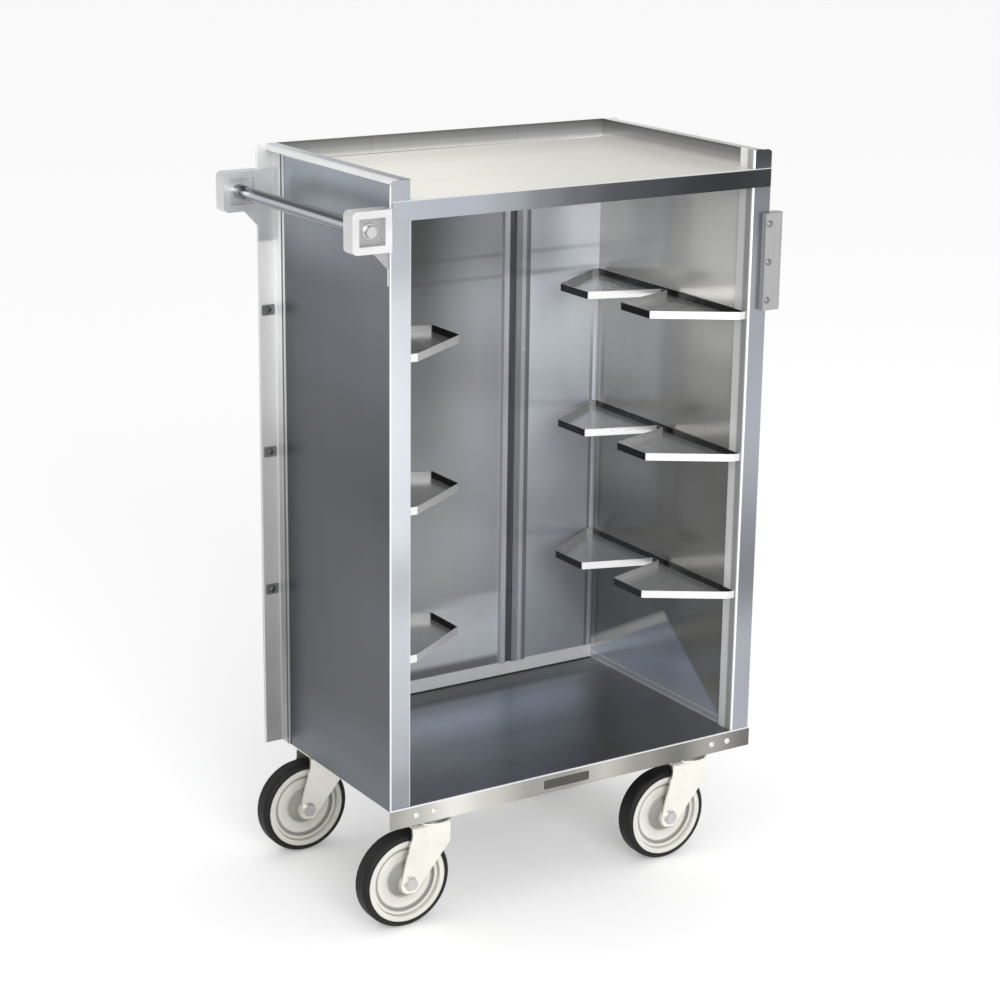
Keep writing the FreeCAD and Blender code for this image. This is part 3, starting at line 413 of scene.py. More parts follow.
def back_tone(bench):
    """Back panels in painted reflections: cool grey, bright by the upper right corner, with a pale foot on
    the left; two reflected marks across them and a painted highlight and shadow line by the right corner.
    """
    x, z = bench.place("xz")
    # Painted reflections up the back, in four columns from the middle to the right corner.
    centre = bench.ramp(z, DIM, (0.18, 118), (0.205, 126), (0.215, 212), (0.25, 222), (0.29, 208),
                        (0.30, 160), (0.40, 152), (0.48, 141), (0.56, 125), (0.64, 116), (0.72, 105),
                        (0.80, 80), (0.94, 66))
    by_seam = bench.ramp(z, BLUISH, (0.18, 108), (0.205, 112), (0.215, 184), (0.25, 188), (0.30, 168),
                         (0.31, 140), (0.40, 147), (0.56, 148), (0.64, 144), (0.72, 152), (0.80, 142),
                         (0.94, 132))
    beside = bench.ramp(z, BLUISH_RIGHT, (0.18, 124), (0.25, 128), (0.32, 137), (0.40, 138), (0.48, 147),
                        (0.56, 161), (0.64, 171), (0.72, 170), (0.80, 155), (0.94, 150))
    corner = bench.ramp(z, BLUISH_CORNER, (0.18, 108), (0.25, 111), (0.40, 128), (0.48, 127), (0.56, 145),
                        (0.64, 163), (0.72, 186), (0.80, 199), (0.94, 197))
    inner = bench.blend(bench.fade(x, -0.03, 0.09), centre, by_seam)
    right = bench.blend(bench.fade(x, 0.17, 0.25), beside, corner)
    joint = CENTRE + SEAM
    tone = bench.blend(bench.fade(x, joint - 2.0 * MM, joint + 2.0 * MM), inner, right)
    outer = bench.ramp(z, COOL, (0.17, 132), (0.50, 160), (0.94, 178))
    tone = bench.blend(bench.past(z, TOP_SHEET + 0.5 * MM), tone, rim_tone(bench, z))
    # Two painted reflected marks, darker lines across the back.
    upper, lower = [bench.line(z, height, 1.5 * MM, 3.0 * MM) for height in REFLECTIONS]
    # A painted shadow line and a painted highlight beside the right corner, in its lower part.
    dark = bench.line(x, RIGHT_PANEL - 10.0 * MM, 1.5 * MM, 1.5 * MM)
    glint = bench.line(x, RIGHT_PANEL - 5.0 * MM, 1.0 * MM, 1.0 * MM)
    corner_glint_and_shade = (glint * 0.50 - dark * 0.45) * bench.fade(z, 0.72, 0.60)
    tone = bench.shaded(tone, 1.0 - (upper + lower) * bench.fade(x, -0.2, 0.15) * 0.22 + corner_glint_and_shade)
    return bench.blend(bench.facing("y") > 0.5, tone, outer)


def seam_tone(bench):
    """A cover strip with painted highlights beside a painted shadowed groove on the side towards the cart's
    centre.
    """
    across = abs(bench.place("x") - CENTRE) - SEAM
    return bench.ramp(across, BLUISH, (-0.023, 170), (-0.0135, 172), (-0.0125, 78), (-0.0030, 74),
                      (-0.0015, 130), (0.0070, 132), (0.0085, 172), (0.0135, 168), (0.0150, 112),
                      (0.023, 108))


def deck_tone(bench):
    """A slate deck in painted reflections and shade: pale behind its middle, dark at the back and on the
    right, plain grey underneath; a pale upstand, and a front flange in painted reflection bands with a
    painted highlight along its bend.
    """
    x, y, z = bench.place("xyz")
    lit = bench.ramp(y, BLUE, (-0.172, 106), (-0.14, 112), (-0.04, 138), (0.06, 180), (0.105, 158),
                     (0.130, 70), (0.166, 56))
    # Painted shade over the right of the deck, beyond a slanting edge.
    floor = bench.blend(bench.fade(x - y * 0.65, 0.12, 0.19), lit, grey(94))
    under = bench.blend(bench.facing("z") < -0.5, floor, grey(120))
    # Painted reflections in bands across the front flange.
    front = bench.ramp(x, WARM, (-0.262, 150), (-0.235, 168), (-0.17, 214), (-0.12, 188), (-0.05, 148),
                       (0.0, 142), (0.06, 178), (0.12, 138), (0.18, 108), (0.23, 150), (0.302, 98))
    # A painted highlight along the front bend.
    front = bench.blend(bench.line(z, DECK_EDGE, 1.2 * MM, 1.2 * MM), front, grey(245))
    tone = bench.blend(bench.past(y, FLANGE), front, under)
    return bench.blend(bench.past(y, UPSTAND) * (z > DECK_EDGE + 1.0 * MM), tone, grey(240))


def top_tone(bench):
    """A nearly white top, dimmed towards the front right by a painted reflection and in painted shade
    underneath; its front flange, a painted reflection, runs from lavender grey to nearly black, with a
    painted highlight along its top.
    """
    x, y, z = bench.place("xyz")
    # A painted reflection dims the top towards the front right; painted shade underneath.
    surface = bench.blend(bench.fade(x - y * 0.5, -0.25, 0.22), grey(254, WARM), grey(218, WARM))
    surface = bench.blend(bench.facing("z") < -0.5, surface, grey(112))
    # Painted reflections along the front flange.
    front = bench.ramp(x, COOL, (-0.262, 176), (-0.15, 172), (-0.10, 156), (-0.05, 126), (0.0, 104),
                       (0.06, 80), (0.12, 72), (0.18, 57), (0.22, 52), (0.298, 60))
    # A painted highlight along the flange's top edge.
    front = bench.blend(bench.line(z, TOP_SHEET + 0.5 * MM, 1.0 * MM, 1.2 * MM), front, grey(240))
    return bench.blend(bench.past(y, FLANGE), front, surface)


def bright_flange(bench):
    """Only the top's flange is mirror-like."""
    return 0.85 - bench.past(bench.place("y"), FLANGE) * 0.70


def post_tone(bench):
    """Corner posts in painted reflections: wings that face the front, legs in other greys, painted highlights
    down bends and edges and a painted shadow line down the rear legs.
    """
    x, y, z = bench.place("xyz")
    # Painted reflections down the wings and the rear legs, a ramp for each.
    left = bench.ramp(z, PALE, (0.15, 152), (0.20, 164), (0.25, 186), (0.32, 200), (0.40, 207), (0.47, 192),
                      (0.55, 222), (0.70, 227), (0.80, 220), (0.88, 194), (0.965, 188))
    right = bench.ramp(z, COOL, (0.15, 166), (0.30, 162), (0.40, 124), (0.60, 162), (0.80, 157), (0.90, 132),
                       (0.965, 70))
    rear = bench.ramp(z, REAR, (0.17, 132), (0.25, 143), (0.40, 162), (0.56, 172), (0.64, 192), (0.72, 198),
                      (0.80, 214), (0.94, 200))
    rear_leg = bench.ramp(z, REAR_LEG, (0.17, 152), (0.25, 138), (0.32, 125), (0.40, 133), (0.56, 152),
                          (0.64, 177), (0.72, 197), (0.80, 207), (0.94, 197))
    front = bench.blend(x > 0.0, left, right)
    wing = bench.blend(y > 0.0, front, rear)
    across = abs(x - CENTRE)
    # Painted highlights down the bend and the outer edge of each wing.
    bend = bench.line(across, POST_BEND, 1.0 * MM, 1.2 * MM) * (y < 0.0)
    edge = bench.line(across, POST_EDGE, 1.0 * MM, 1.0 * MM)
    wing = bench.blend((bend + edge).clamped(), wing, grey(240))
    # Front legs grey by the wing, with a painted highlight on their back half; a painted shadow line down the
    # rear legs.
    leg = bench.blend(bench.fade(y, POST_LEG - 2.0 * MM, POST_LEG + 2.0 * MM), grey(172), grey(240))
    rear_leg = bench.blend(bench.line(y, LEG_SHADOW, 1.8 * MM, 1.0 * MM), rear_leg, grey(96))
    leg = bench.blend(y > 0.0, leg, rear_leg)
    return bench.blend(bench.fade(abs(bench.facing("y")), 0.4, 0.7), leg, wing)


def duller_at_the_back(bench):
    """The rear posts and the posts' legs, in the panels' shade, are less mirror-like."""
    shaded = (bench.place("y") > 0.0) + (abs(bench.facing("x")) > 0.6)
    return 0.85 - shaded.clamped() * 0.70


def ledge_tone(bench):
    """Ledges in painted light and shade by the way each face points: pale tray surface, white where they face
    the front, nearly black where they face the left, dark underneath.
    """
    nx, ny, nz = bench.facing("xyz")
    side = bench.blend(bench.fade(-nx, 0.1, 0.7), grey(140), grey(48))
    front = bench.blend((bench.place("x") < 0.0) * (nx < -0.1), grey(222), grey(118))
    tone = bench.blend(bench.fade(-ny, 0.25, 0.75), side, front)
    tone = bench.blend(bench.fade(nz, 0.6, 0.9), tone, grey(214))
    return bench.blend(bench.fade(-nz, 0.6, 0.9), tone, grey(84))


def bar_tone(bench):
    """A polished tube in painted reflections by the way it faces: pale flank, a dark line along the top and a
    grey underside.
    """
    return bench.ramp(bench.facing("z"), COOL, (-1.0, 130), (-0.6, 112), (-0.25, 116), (0.0, 178),
                      (0.22, 204), (0.40, 190), (0.52, 84), (0.80, 66), (0.94, 104), (1.0, 150))


def cast_metal(name, tone):
    """Satin casting with a fine pebbled skin, with painted shade down in its recess."""
    bench = Bench(name)
    grit = bench.noise((900.0, 900.0, 900.0), detail=4.0)
    cloud = bench.noise((30.0, 30.0, 30.0), detail=4.0, offset=(4.0, 1.0, 6.0))
    light = (cloud - 0.5) * 0.25 + (grit - 0.5) * 0.12 + 1.0
    y = bench.place("y")
    outward = bench.facing("y") * y
    # Painted shade on the recess floor, inside the bracket's rim.
    recess = (1.0 - bench.past(abs(y), RECESS)) * bench.fade(outward, 0.10, 0.14)
    light = light * (1.0 - recess * 0.45)
    rough = (cloud - 0.5) * 0.25 + 0.38
    return bench.finish(Base_Color=bench.shaded(tone, light), Metallic=0.7, Roughness=rough.clamped(),
                        Normal=bench.bump(grit, 0.25, 0.0004))


def plated_steel(name, tone, roughness=0.28):
    """Bright zinc plate: soft cloudy bloom with a little dirt."""
    bench = Bench(name)
    cloud = bench.noise((26.0, 26.0, 26.0), detail=5.0, offset=(2.0, 8.0, 1.0))
    fine = bench.noise((260.0, 260.0, 260.0), detail=3.0)
    light = (cloud - 0.5) * 0.26 + (fine - 0.5) * 0.06 + 1.0
    rough = (cloud - 0.5) * 0.3 + (fine - 0.5) * 0.1 + roughness
    return bench.finish(Base_Color=bench.shaded(tone, light), Metallic=0.8, Roughness=rough.clamped(),
                        Normal=bench.bump(fine, 0.08, 0.0003))


def vinyl(name, tone):
    """Extruded grey vinyl: long soft draw lines and a few scuffs."""
    bench = Bench(name)
    lines = bench.noise((420.0, 420.0, 6.0), detail=2.0)
    scuff = bench.fade(bench.noise((30.0, 30.0, 9.0), detail=5.0, offset=(6.0, 6.0, 0.0)), 0.55, 0.66)
    light = (lines - 0.5) * 0.16 - scuff * 0.14 + 1.0
    rough = (lines - 0.5) * 0.1 + scuff * 0.15 + 0.42
    return bench.finish(Base_Color=bench.shaded(tone, light), Roughness=rough.clamped(),
                        Normal=bench.bump(lines, 0.15, 0.0003))


def tyre_rubber(name, tone):
    """Black rubber with a little dust in patches."""
    bench = Bench(name)
    dust = bench.fade(bench.noise((40.0, 40.0, 40.0), detail=6.0), 0.45, 0.75)
    pebble = bench.noise((700.0, 700.0, 700.0), detail=2.0, offset=(5.0, 5.0, 5.0))
    colour = bench.blend(dust * 0.25, tone, grey(62, WARM))
    rough = dust * 0.2 + (pebble - 0.5) * 0.1 + 0.55
    return bench.finish(Base_Color=colour, Roughness=rough.clamped(), Specular_IOR_Level=0.25,
                        Normal=bench.bump(pebble, 0.2, 0.0003))


def moulded_plastic(name, tone):
    """Pale moulded wheel centre: painted shade in rings round its hub and inside its rim."""
    bench = Bench(name)
    x, z = bench.place("xz")
    across, up = abs(x - WHEEL.x) - WHEEL_REACH, z - WHEEL.z
    radius = (across * across + up * up).root()
    # Painted shade: a dark ring round the hub and another in the groove inside the rim.
    rings = bench.ramp(radius, NEUTRAL, (0.0, 252), (0.013, 248), (0.016, 150), (0.022, 168), (0.028, 226),
                       (0.038, 240), (0.0405, 160), (0.0430, 170), (0.0450, 240), (0.052, 235))
    cloud = bench.noise((32.0, 32.0, 32.0), detail=5.0)
    pebble = bench.noise((600.0, 600.0, 600.0), detail=2.0, offset=(3.0, 3.0, 3.0))
    light = (cloud - 0.5) * 0.24 + (pebble - 0.5) * 0.06 + 1.0
    rough = (cloud - 0.5) * 0.25 + 0.42
    colour = bench.shaded(bench.blend(1.0, tone, rings, mode="MULTIPLY"), light)
    return bench.finish(Base_Color=colour, Roughness=rough.clamped(), Normal=bench.bump(pebble, 0.1, 0.0003))


# ------------------------------------------------------------------ fasteners

ROUND = "round"
HEX = "hex"
TAB = "tab"
TAB_ASPECT = 14 / 19
TAB_SQUARENESS = 9

# Turned outlines of unit size: each ring is a height and a radius that the form's own outline is held to.
OUTLINES = {
    "dome": (ROUND, ((0, 0.50), (0.10, 0.50), (0.42, 0.45), (0.70, 0.35), (0.90, 0.22), (1.0, 0.13),
                     (0.86, 0.10))),
    "hex_head": (HEX, ((0, 0.52), (0.08, 0.60), (0.80, 0.60), (1.0, 0.49))),
    "pan": (ROUND, ((0, 0.50), (0.40, 0.50), (0.78, 0.43), (1.0, 0.28), (1.0, 0.16), (0.45, 0.13))),
    "washer": (ROUND, ((0, 0.50), (0.85, 0.50), (1.0, 0.47))),
    "tab": (TAB, ((0, 1.0), (0.80, 1.0), (1.0, 0.97))),
    "shank": (ROUND, ((0, 0.50), (-0.94, 0.50), (-1.0, 0.43))),
    "rivet_shank": (ROUND, ((0, 0.50), (-0.80, 0.50), (-0.93, 0.44), (-1.0, 0.30))),
}


def reach(form, angle, limit):
    """How far an outline goes at an angle: a round, a hexagon one unit across its flats, or a rounded tab."""
    if form == HEX:
        return min(limit, 0.5 / math.cos((angle + math.pi / 6) % (math.pi / 3) - math.pi / 6))
    if form == TAB:
        across, up = abs(math.cos(angle)) / 0.5, abs(math.sin(angle)) / (0.5 * TAB_ASPECT)
        return limit * (across ** TAB_SQUARENESS + up ** TAB_SQUARENESS) ** (-1 / TAB_SQUARENESS)
    return limit


def mesh_from(name, shape):
    mesh = bpy.data.meshes.new(name)
    shape.to_mesh(mesh)
    shape.free()
    return mesh


def put(name, data):
    """A new object in the scene."""
    item = bpy.data.objects.new(name, data)
    bpy.context.scene.collection.objects.link(item)
    return item


def skin(name, loops):
    """A mesh through rings of points, closed at both ends."""
    shape = bmesh.new()
    rings = [[shape.verts.new(point) for point in loop] for loop in loops]
    for lower, upper in zip(rings, rings[1:]):
        for step in range(len(lower)):
            after = (step + 1) % len(lower)
            shape.faces.new((lower[step], lower[after], upper[after], upper[step]))
    shape.faces.new(rings[0][::-1])
    shape.faces.new(rings[-1])
    bmesh.ops.recalc_face_normals(shape, faces=shape.faces)
    return mesh_from(name, shape)


def turned(name, sides=48):
    """One outline as a closed mesh of unit size, standing on its seat."""
    form, rings = OUTLINES[name]
    angles = [math.tau * step / sides for step in range(sides)]
    loops = []
    for height, limit in rings:
        radii = [reach(form, angle, limit) for angle in angles]
        loops.append([(r * math.cos(a), r * math.sin(a), height) for a, r in zip(angles, radii)])
    mesh = skin(name, loops)
    mesh.shade_smooth()
    mesh.set_sharp_from_angle(angle=math.radians(32))
    return put(name, mesh)


def fastener_tree():
    """Sets a head, and a shank behind it, on every point of a mesh, facing as the point's attribute says."""
    tree = bpy.data.node_groups.new("fasteners", "GeometryNodeTree")
    openings = (("Places", "Geometry"), ("Head", "Object"), ("Shank", "Object"), ("Head width", "Float"),
                ("Head height", "Float"), ("Shank width", "Float"), ("Shank length", "Float"),
                ("Most turn", "Float"), ("Seed", "Int"), ("Finish", "Material"))
    for name, kind in openings:
        tree.interface.new_socket(name=name, in_out="INPUT", socket_type=f"NodeSocket{kind}")
    tree.interface.new_socket(name="Fasteners", in_out="OUTPUT", socket_type="NodeSocketGeometry")
    board = Board(tree)
    entry = tree.nodes.new("NodeGroupInput")
    given = {name: Wire(board, entry.outputs[name]) for name, kind in openings}
    facing = board.node("GeometryNodeInputNamedAttribute", dict(data_type="FLOAT_VECTOR"), {"Name": "facing"})
    aimed = board.node("FunctionNodeAlignRotationToVector", dict(axis="Z"), {"Vector": facing})
    limits = {"Min_001": 0.0, "Max_001": given["Most turn"], "Seed": given["Seed"]}
    angle = board.node("FunctionNodeRandomValue", dict(data_type="FLOAT"), limits, output="Value_001")
    spin = board.node("FunctionNodeAxisAngleToRotation", values={"Axis": (0, 0, 1), "Angle": angle})
    turn = board.node("FunctionNodeRotateRotation", dict(rotation_space="LOCAL"),
                      {"Rotation": aimed, "Rotate By": spin})
    rows = []
    parts = ("Head", "Head width", "Head height"), ("Shank", "Shank width", "Shank length")
    for part, width, length in parts:
        form = board.node("GeometryNodeObjectInfo", values={"Object": given[part]}, output="Geometry")
        size = board.shader("CombineXYZ", values={0: given[width], 1: given[width], 2: given[length]})
        rows.append(board.node("GeometryNodeInstanceOnPoints", values={
            "Points": given["Places"], "Instance": form, "Rotation": turn, "Scale": size}))
    joined = board.node("GeometryNodeJoinGeometry", values={"Geometry": rows})
    solid = board.node("GeometryNodeRealizeInstances", values={"Geometry": joined})
    done = board.node("GeometryNodeSetMaterial", values={"Geometry": solid, "Material": given["Finish"]})
    board.node("NodeGroupOutput", values={"Fasteners": done})
    return tree


def solids(name):
    """Lowest and highest corner of each separate solid of a CAD node."""
    shape = bmesh.new()
    shape.from_mesh(NODES[name].data)
    bmesh.ops.remove_doubles(shape, verts=shape.verts, dist=0.01 * MM)
    left = set(shape.verts)
    boxes = []
    while left:
        group, edge = [], [left.pop()]
        while edge:
            vertex = edge.pop()
            group.append(vertex.co.copy())
            near = {link.other_vert(vertex) for link in vertex.link_edges} & left
            left -= near
            edge.extend(near)
        columns = list(zip(*group))
        boxes.append((Vector(map(min, columns)), Vector(map(max, columns))))
    shape.free()
    return sorted(boxes, key=lambda box: tuple(round(value, 4) for value in box[0]))


def seat(box, facing, height, stub=0.0):
    """Where a head of some height sits, if its outer end is a stub's length inside the box."""
    low, high = box
    outer = max(low.dot(facing), high.dot(facing))
    middle = (low + high) / 2
    return middle + facing * (outer - height - stub - middle.dot(facing))


def thickness(box, facing):
    return abs((box[1] - box[0]).dot(facing))


class Row:
    """Like fasteners that share a body: their seats, forms, sizes and finish."""

    def __init__(self, boxes, facing, head, width, height, finish, shank=None, shank_width=0.0, most_turn=0.0,
                 stub=0.0):
        self.places = [(seat(box, facing, height, stub), facing) for box in boxes]
        length = thickness(boxes[0], facing) - height - stub if shank else 0.0
        self.values = {"Head": head, "Shank": shank, "Head width": width, "Head height": height,
                       "Shank width": shank_width, "Shank length": length, "Most turn": most_turn, "Seed": 7,
                       "Finish": finish}

    def mesh(self, tree, forms):
        """The row as a plain mesh, from the node tree's result."""
        points = bpy.data.meshes.new("places")
        points.from_pydata([place for place, facing in self.places], [], [])
        facings = points.attributes.new("facing", "FLOAT_VECTOR", "POINT")
        for item, (place, facing) in zip(facings.data, self.places):
            item.vector = facing
        holder = put("places", points)
        modifier = holder.modifiers.new("fasteners", "NODES")
        modifier.node_group = tree
        for socket in tree.interface.items_tree:
            if socket.name in self.values and self.values[socket.name] is not None:
                value = self.values[socket.name]
                modifier[socket.identifier] = forms[value] if value in OUTLINES else value
        graph = bpy.context.evaluated_depsgraph_get()
        made = bpy.data.meshes.new_from_object(holder.evaluated_get(graph))
        bpy.data.objects.remove(holder)
        return made


def fasten(name, body, slot, rows, *nodes):
    """All rows as one object that rides on a body and stands for the CAD nodes."""
    tree = fastener_tree()
    used = {row.values[part] for row in rows for part in ("Head", "Shank")} - {None}
    forms = {form: turned(form) for form in sorted(used)}
    shape = bmesh.new()
    finishes = []
    for row in rows:
        first = len(shape.faces)
        shape.from_mesh(row.mesh(tree, forms))
        shape.faces.ensure_lookup_table()
        for face in shape.faces[first:]:
            face.material_index = len(finishes)
        finishes.append(row.values["Finish"])
    mesh = mesh_from(name, shape)
    if not mesh.polygons:
        raise RuntimeError(f"{name} came out empty")
    for finish in finishes:
        mesh.materials.append(finish)
    for form in forms.values():
        bpy.data.objects.remove(form)
    item = put(name, mesh)
    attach(item, body)
    if nodes:
        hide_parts(*nodes)
    return item


def ends(boxes):
    """The boxes at the front and the boxes at the back."""
    return [box for box in boxes if box[1].y < 0], [box for box in boxes if box[0].y > 0]


# ------------------------------------------------------------------ settings

def colour_setting(name, description, default):
    return FloatVectorProperty(name=name, description=description, default=default, subtype="COLOR", min=0.0,
                               max=1.0, size=3)


def length_setting(name, description, default):
    return FloatProperty(name=name, description=description, default=default * MM, min=0.0, unit="LENGTH",
                         precision=5)


class CartColours(bpy.types.PropertyGroup):
    bracket: colour_setting("Brackets", "Handle brackets", grey(214))
    bumper: colour_setting("Bumpers", "Grey vinyl bumpers", grey(152))
    caster: colour_setting("Caster steel", "Plated caster plates and forks", grey(236, WARM))
    race: colour_setting("Swivel race", "Races of the swivels, in shadow", grey(120))
    wheel: colour_setting("Wheel", "Moulded wheel centre", grey(232, WARM))
    tyre: colour_setting("Tyre", "Black rubber tyre", grey(24))
    channel: colour_setting("Caster channels", "Channels under the deck", grey(140))
    rivet: colour_setting("Rivets", "Bright rivets", grey(222))
    bumper_rivet: colour_setting("Bumper rivets", "Duller rivets through the bumpers", grey(128))
    bolt: colour_setting("Bolts", "Zinc plated bolts and nuts", grey(196))
    clip: colour_setting("Clips", "Small dark plates down the rear posts", grey(136))
    screw: colour_setting("Screws", "Their darker screws", grey(92))
    nameplate: colour_setting("Nameplate", "Bare dark plate on the base", grey(84, WARM))


class FastenerSizes(bpy.types.PropertyGroup):
    rivet_width: length_setting("Rivet head", "Across the domed heads", 9.0)
    rivet_height: length_setting("Rivet height", "Height of the domed heads", 2.0)
    rivet_shank: length_setting("Rivet shank", "Across the closed ends", 6.8)
    screw_width: length_setting("Screw head", "Across the heads of the post screws", 9.0)
    screw_height: length_setting("Screw head height", "Those heads", 2.4)
    screw_shank: length_setting("Screw", "Across those screws", 5.0)
    clip_width: length_setting("Clip", "Width of the plates down the rear posts", 19.0)
    plate_bolt_width: length_setting("Caster bolt", "Across the flats of heads and nuts", 13.0)
    plate_bolt_head: length_setting("Caster bolt head", "Height of the heads", 5.0)
    plate_bolt_shank: length_setting("Caster bolt shank", "Across the bolts", 8.0)
    plate_nut_height: length_setting("Caster nut", "Height of the nuts", 6.5)
    plate_bolt_stub: length_setting("Caster bolt end", "Bolt above the nut", 3.5)
    axle_width: length_setting("Axle head", "Across the flats of axle heads and nuts", 16.0)
    axle_head: length_setting("Axle head height", "Height of the axle's head", 5.0)
    axle_shank: length_setting("Axle", "Across the axle bolt", 10.0)
    handle_bolt_width: length_setting("Handle bolt", "Across the flats of the handle's bolts", 14.0)
    handle_bolt_head: length_setting("Handle bolt head", "Height of those heads", 5.5)
    handle_bolt_shank: length_setting("Handle bolt shank", "Across those bolts", 8.0)
    nameplate_width: length_setting("Nameplate", "Width of the bare plate on the base", 70.0)
    nameplate_height: length_setting("Nameplate height", "Height of that plate", 12.0)
    nameplate_thickness: length_setting("Nameplate thickness", "Thickness of that plate", 0.8)


class StageSettings(bpy.types.PropertyGroup):
    world_strength: FloatProperty(name="World", description="Soft light from all round", default=1.0, min=0.0)
    key_power: FloatProperty(name="Key lamp", description="Large soft lamp at the front left", default=150.0,
                             min=0.0, unit="POWER")
    focal_length: FloatProperty(name="Lens", description="Focal length", default=88.47, min=10.0,
                                unit="CAMERA")
    camera_x: FloatProperty(name="Camera X", description="To the right", default=-1.68326, unit="LENGTH")
    camera_y: FloatProperty(name="Camera Y", description="To the back", default=-2.63737, unit="LENGTH")
    camera_z: FloatProperty(name="Camera Z", description="Above the floor", default=1.41692, unit="LENGTH")
    yaw: FloatProperty(name="Yaw", description="Camera turned right of straight ahead", default=0.5685,
                       subtype="ANGLE")
    pitch: FloatProperty(name="Pitch", description="Camera tipped down", default=0.2851, subtype="ANGLE")
    roll: FloatProperty(name="Roll", description="Camera rolled", default=0.0125, subtype="ANGLE")


# ------------------------------------------------------------------ operators

class DressPanels(bpy.types.Operator):
    """Brushed finish for the side panels, the back and its seam strips"""
    bl_idname = "tray_cart.dress_panels"
    bl_label = "Dress the panels"

    def execute(self, context):
        dress(steel("left_panel_steel", left_side_tone, "z", 0.34, 0.55), "left_side_panel")
        dress(steel("right_panel_steel", right_side_tone, "z", 0.17, 0.35, 0.45), "right_side_panel")
        dress(steel("back_steel", back_tone, "z", 0.30, 0.4, 0.45),
              *[f"back_panel_{part}" for part in ("left", "centre", "right")])
        dress(steel("seam_steel", seam_tone, "z", 0.26, 0.3, 0.45),
              *[f"back_seam_strip_{side}" for side in SIDES])
        return {"FINISHED"}


class DressPosts(bpy.types.Operator):
    """Bright finish for the four corner posts"""
    bl_idname = "tray_cart.dress_posts"
    bl_label = "Dress the posts"

    def execute(self, context):
        dress(steel("post_steel", post_tone, "z", 0.26, 0.3, duller_at_the_back),
              *[f"post_{end}_{side}" for end in ("front", "back") for side in SIDES])
        return {"FINISHED"}


class DressShelves(bpy.types.Operator):
    """Deck, top and the caster channels under the deck"""
    bl_idname = "tray_cart.dress_shelves"
    bl_label = "Dress the shelves"

    def execute(self, context):
        dress(steel("deck_steel", deck_tone, "x", 0.30, 0.7, 0.5), "base_shelf")
        dress(steel("top_steel", top_tone, "x", 0.34, 0.2, bright_flange), "top_shelf")
        channel = context.scene.cart_colours.channel
        dress(steel("channel_steel", lambda bench: bench.colour(channel), "y", 0.42, 0.8),
              *[f"caster_channel_{side}" for side in SIDES])
        return {"FINISHED"}


class DressLedges(bpy.types.Operator):
    """Tray ledges"""
    bl_idname = "tray_cart.dress_ledges"
    bl_label = "Dress the ledges"

    def execute(self, context):
        dress(steel("ledge_steel", ledge_tone, "y", 0.26, 0.4, 0.7),
              *[f"ledge_{side}_{level}" for side in SIDES for level in LEVELS])
        return {"FINISHED"}


class DressHandle(bpy.types.Operator):
    """Handle bar and its brackets"""
    bl_idname = "tray_cart.dress_handle"
    bl_label = "Dress the handle"

    def execute(self, context):
        dress(steel("bar_steel", bar_tone, "y", 0.16, 0.2), "handle_bar")
        dress(cast_metal("bracket_metal", context.scene.cart_colours.bracket),
              "handle_bracket_front", "handle_bracket_back")
        return {"FINISHED"}


class DressBumpers(bpy.types.Operator):
    """Vinyl leg bumpers"""
    bl_idname = "tray_cart.dress_bumpers"
    bl_label = "Dress the bumpers"

    def execute(self, context):
        dress(vinyl("bumper_vinyl", context.scene.cart_colours.bumper), "leg_bumper_front", "leg_bumper_back")
        return {"FINISHED"}


class DressCasters(bpy.types.Operator):
    """Caster plates, forks, races, wheels and tyres"""
    bl_idname = "tray_cart.dress_casters"
    bl_label = "Dress the casters"

    def execute(self, context):
        colours = context.scene.cart_colours
        plated = plated_steel("caster_metal", colours.caster)
        dress(plated, *[f"{part}_{corner}" for part in ("caster_plate", "fork") for corner in CORNERS])
        race = plated_steel("race_metal", colours.race, 0.4)
        dress(race, "caster_kingpins", *[f"swivel_race_{corner}" for corner in CORNERS])
        plastic = moulded_plastic("wheel_plastic", colours.wheel)
        dress(plastic, *[f"wheel_core_{corner}" for corner in CORNERS])
        dress(tyre_rubber("tyre_rubber", colours.tyre), *[f"tyre_{corner}" for corner in CORNERS])
        return {"FINISHED"}


class SetRivets(bpy.types.Operator):
    """Domed rivets along the base and the bumpers"""
    bl_idname = "tray_cart.set_rivets"
    bl_label = "Set the rivets"

    def execute(self, context):
        sizes = context.scene.cart_fasteners
        colours = context.scene.cart_colours
        pale = plated_steel("rivet_metal", colours.rivet)
        dull = plated_steel("bumper_rivet_metal", colours.bumper_rivet)
        groups = ("base_rivets", "rivets_base", pale), ("bumper_rivets", "rivets_bumper", dull)
        for node, label, finish in groups:
            rows = [Row(boxes, facing, "dome", sizes.rivet_width, sizes.rivet_height, finish, "rivet_shank",
                        sizes.rivet_shank, math.tau)
                    for boxes, facing in zip(ends(solids(node)), (OUT_FRONT, OUT_BACK)) if boxes]
            fasten(label, "cabinet", "rivet", rows, node)
        return {"FINISHED"}


class SetClips(bpy.types.Operator):
    """Small plates and their screws down the rear posts"""
    bl_idname = "tray_cart.set_clips"
    bl_label = "Set the clips"

    def execute(self, context):
        sizes = context.scene.cart_fasteners
        colours = context.scene.cart_colours
        plate = plated_steel("clip_metal", colours.clip, 0.4)
        metal = plated_steel("screw_metal", colours.screw, 0.4)
        boxes = solids("rear_post_clips")
        tabs = [box for box in boxes if thickness(box, OUT_FRONT) < CLIP_LIMIT]
        screws = [box for box in boxes if box not in tabs]
        rows = [
            Row(tabs, OUT_FRONT, "tab", sizes.clip_width, thickness(tabs[0], OUT_FRONT), plate),
            Row(screws, OUT_FRONT, "pan", sizes.screw_width, sizes.screw_height, metal, "shank",
                sizes.screw_shank, math.tau),
            Row(screws, OUT_BACK, "hex_head", sizes.screw_width, sizes.screw_height, metal,
                most_turn=math.tau),
        ]
        fasten("clips_rear_posts", "cabinet", "clip", rows, "rear_post_clips")
        return {"FINISHED"}


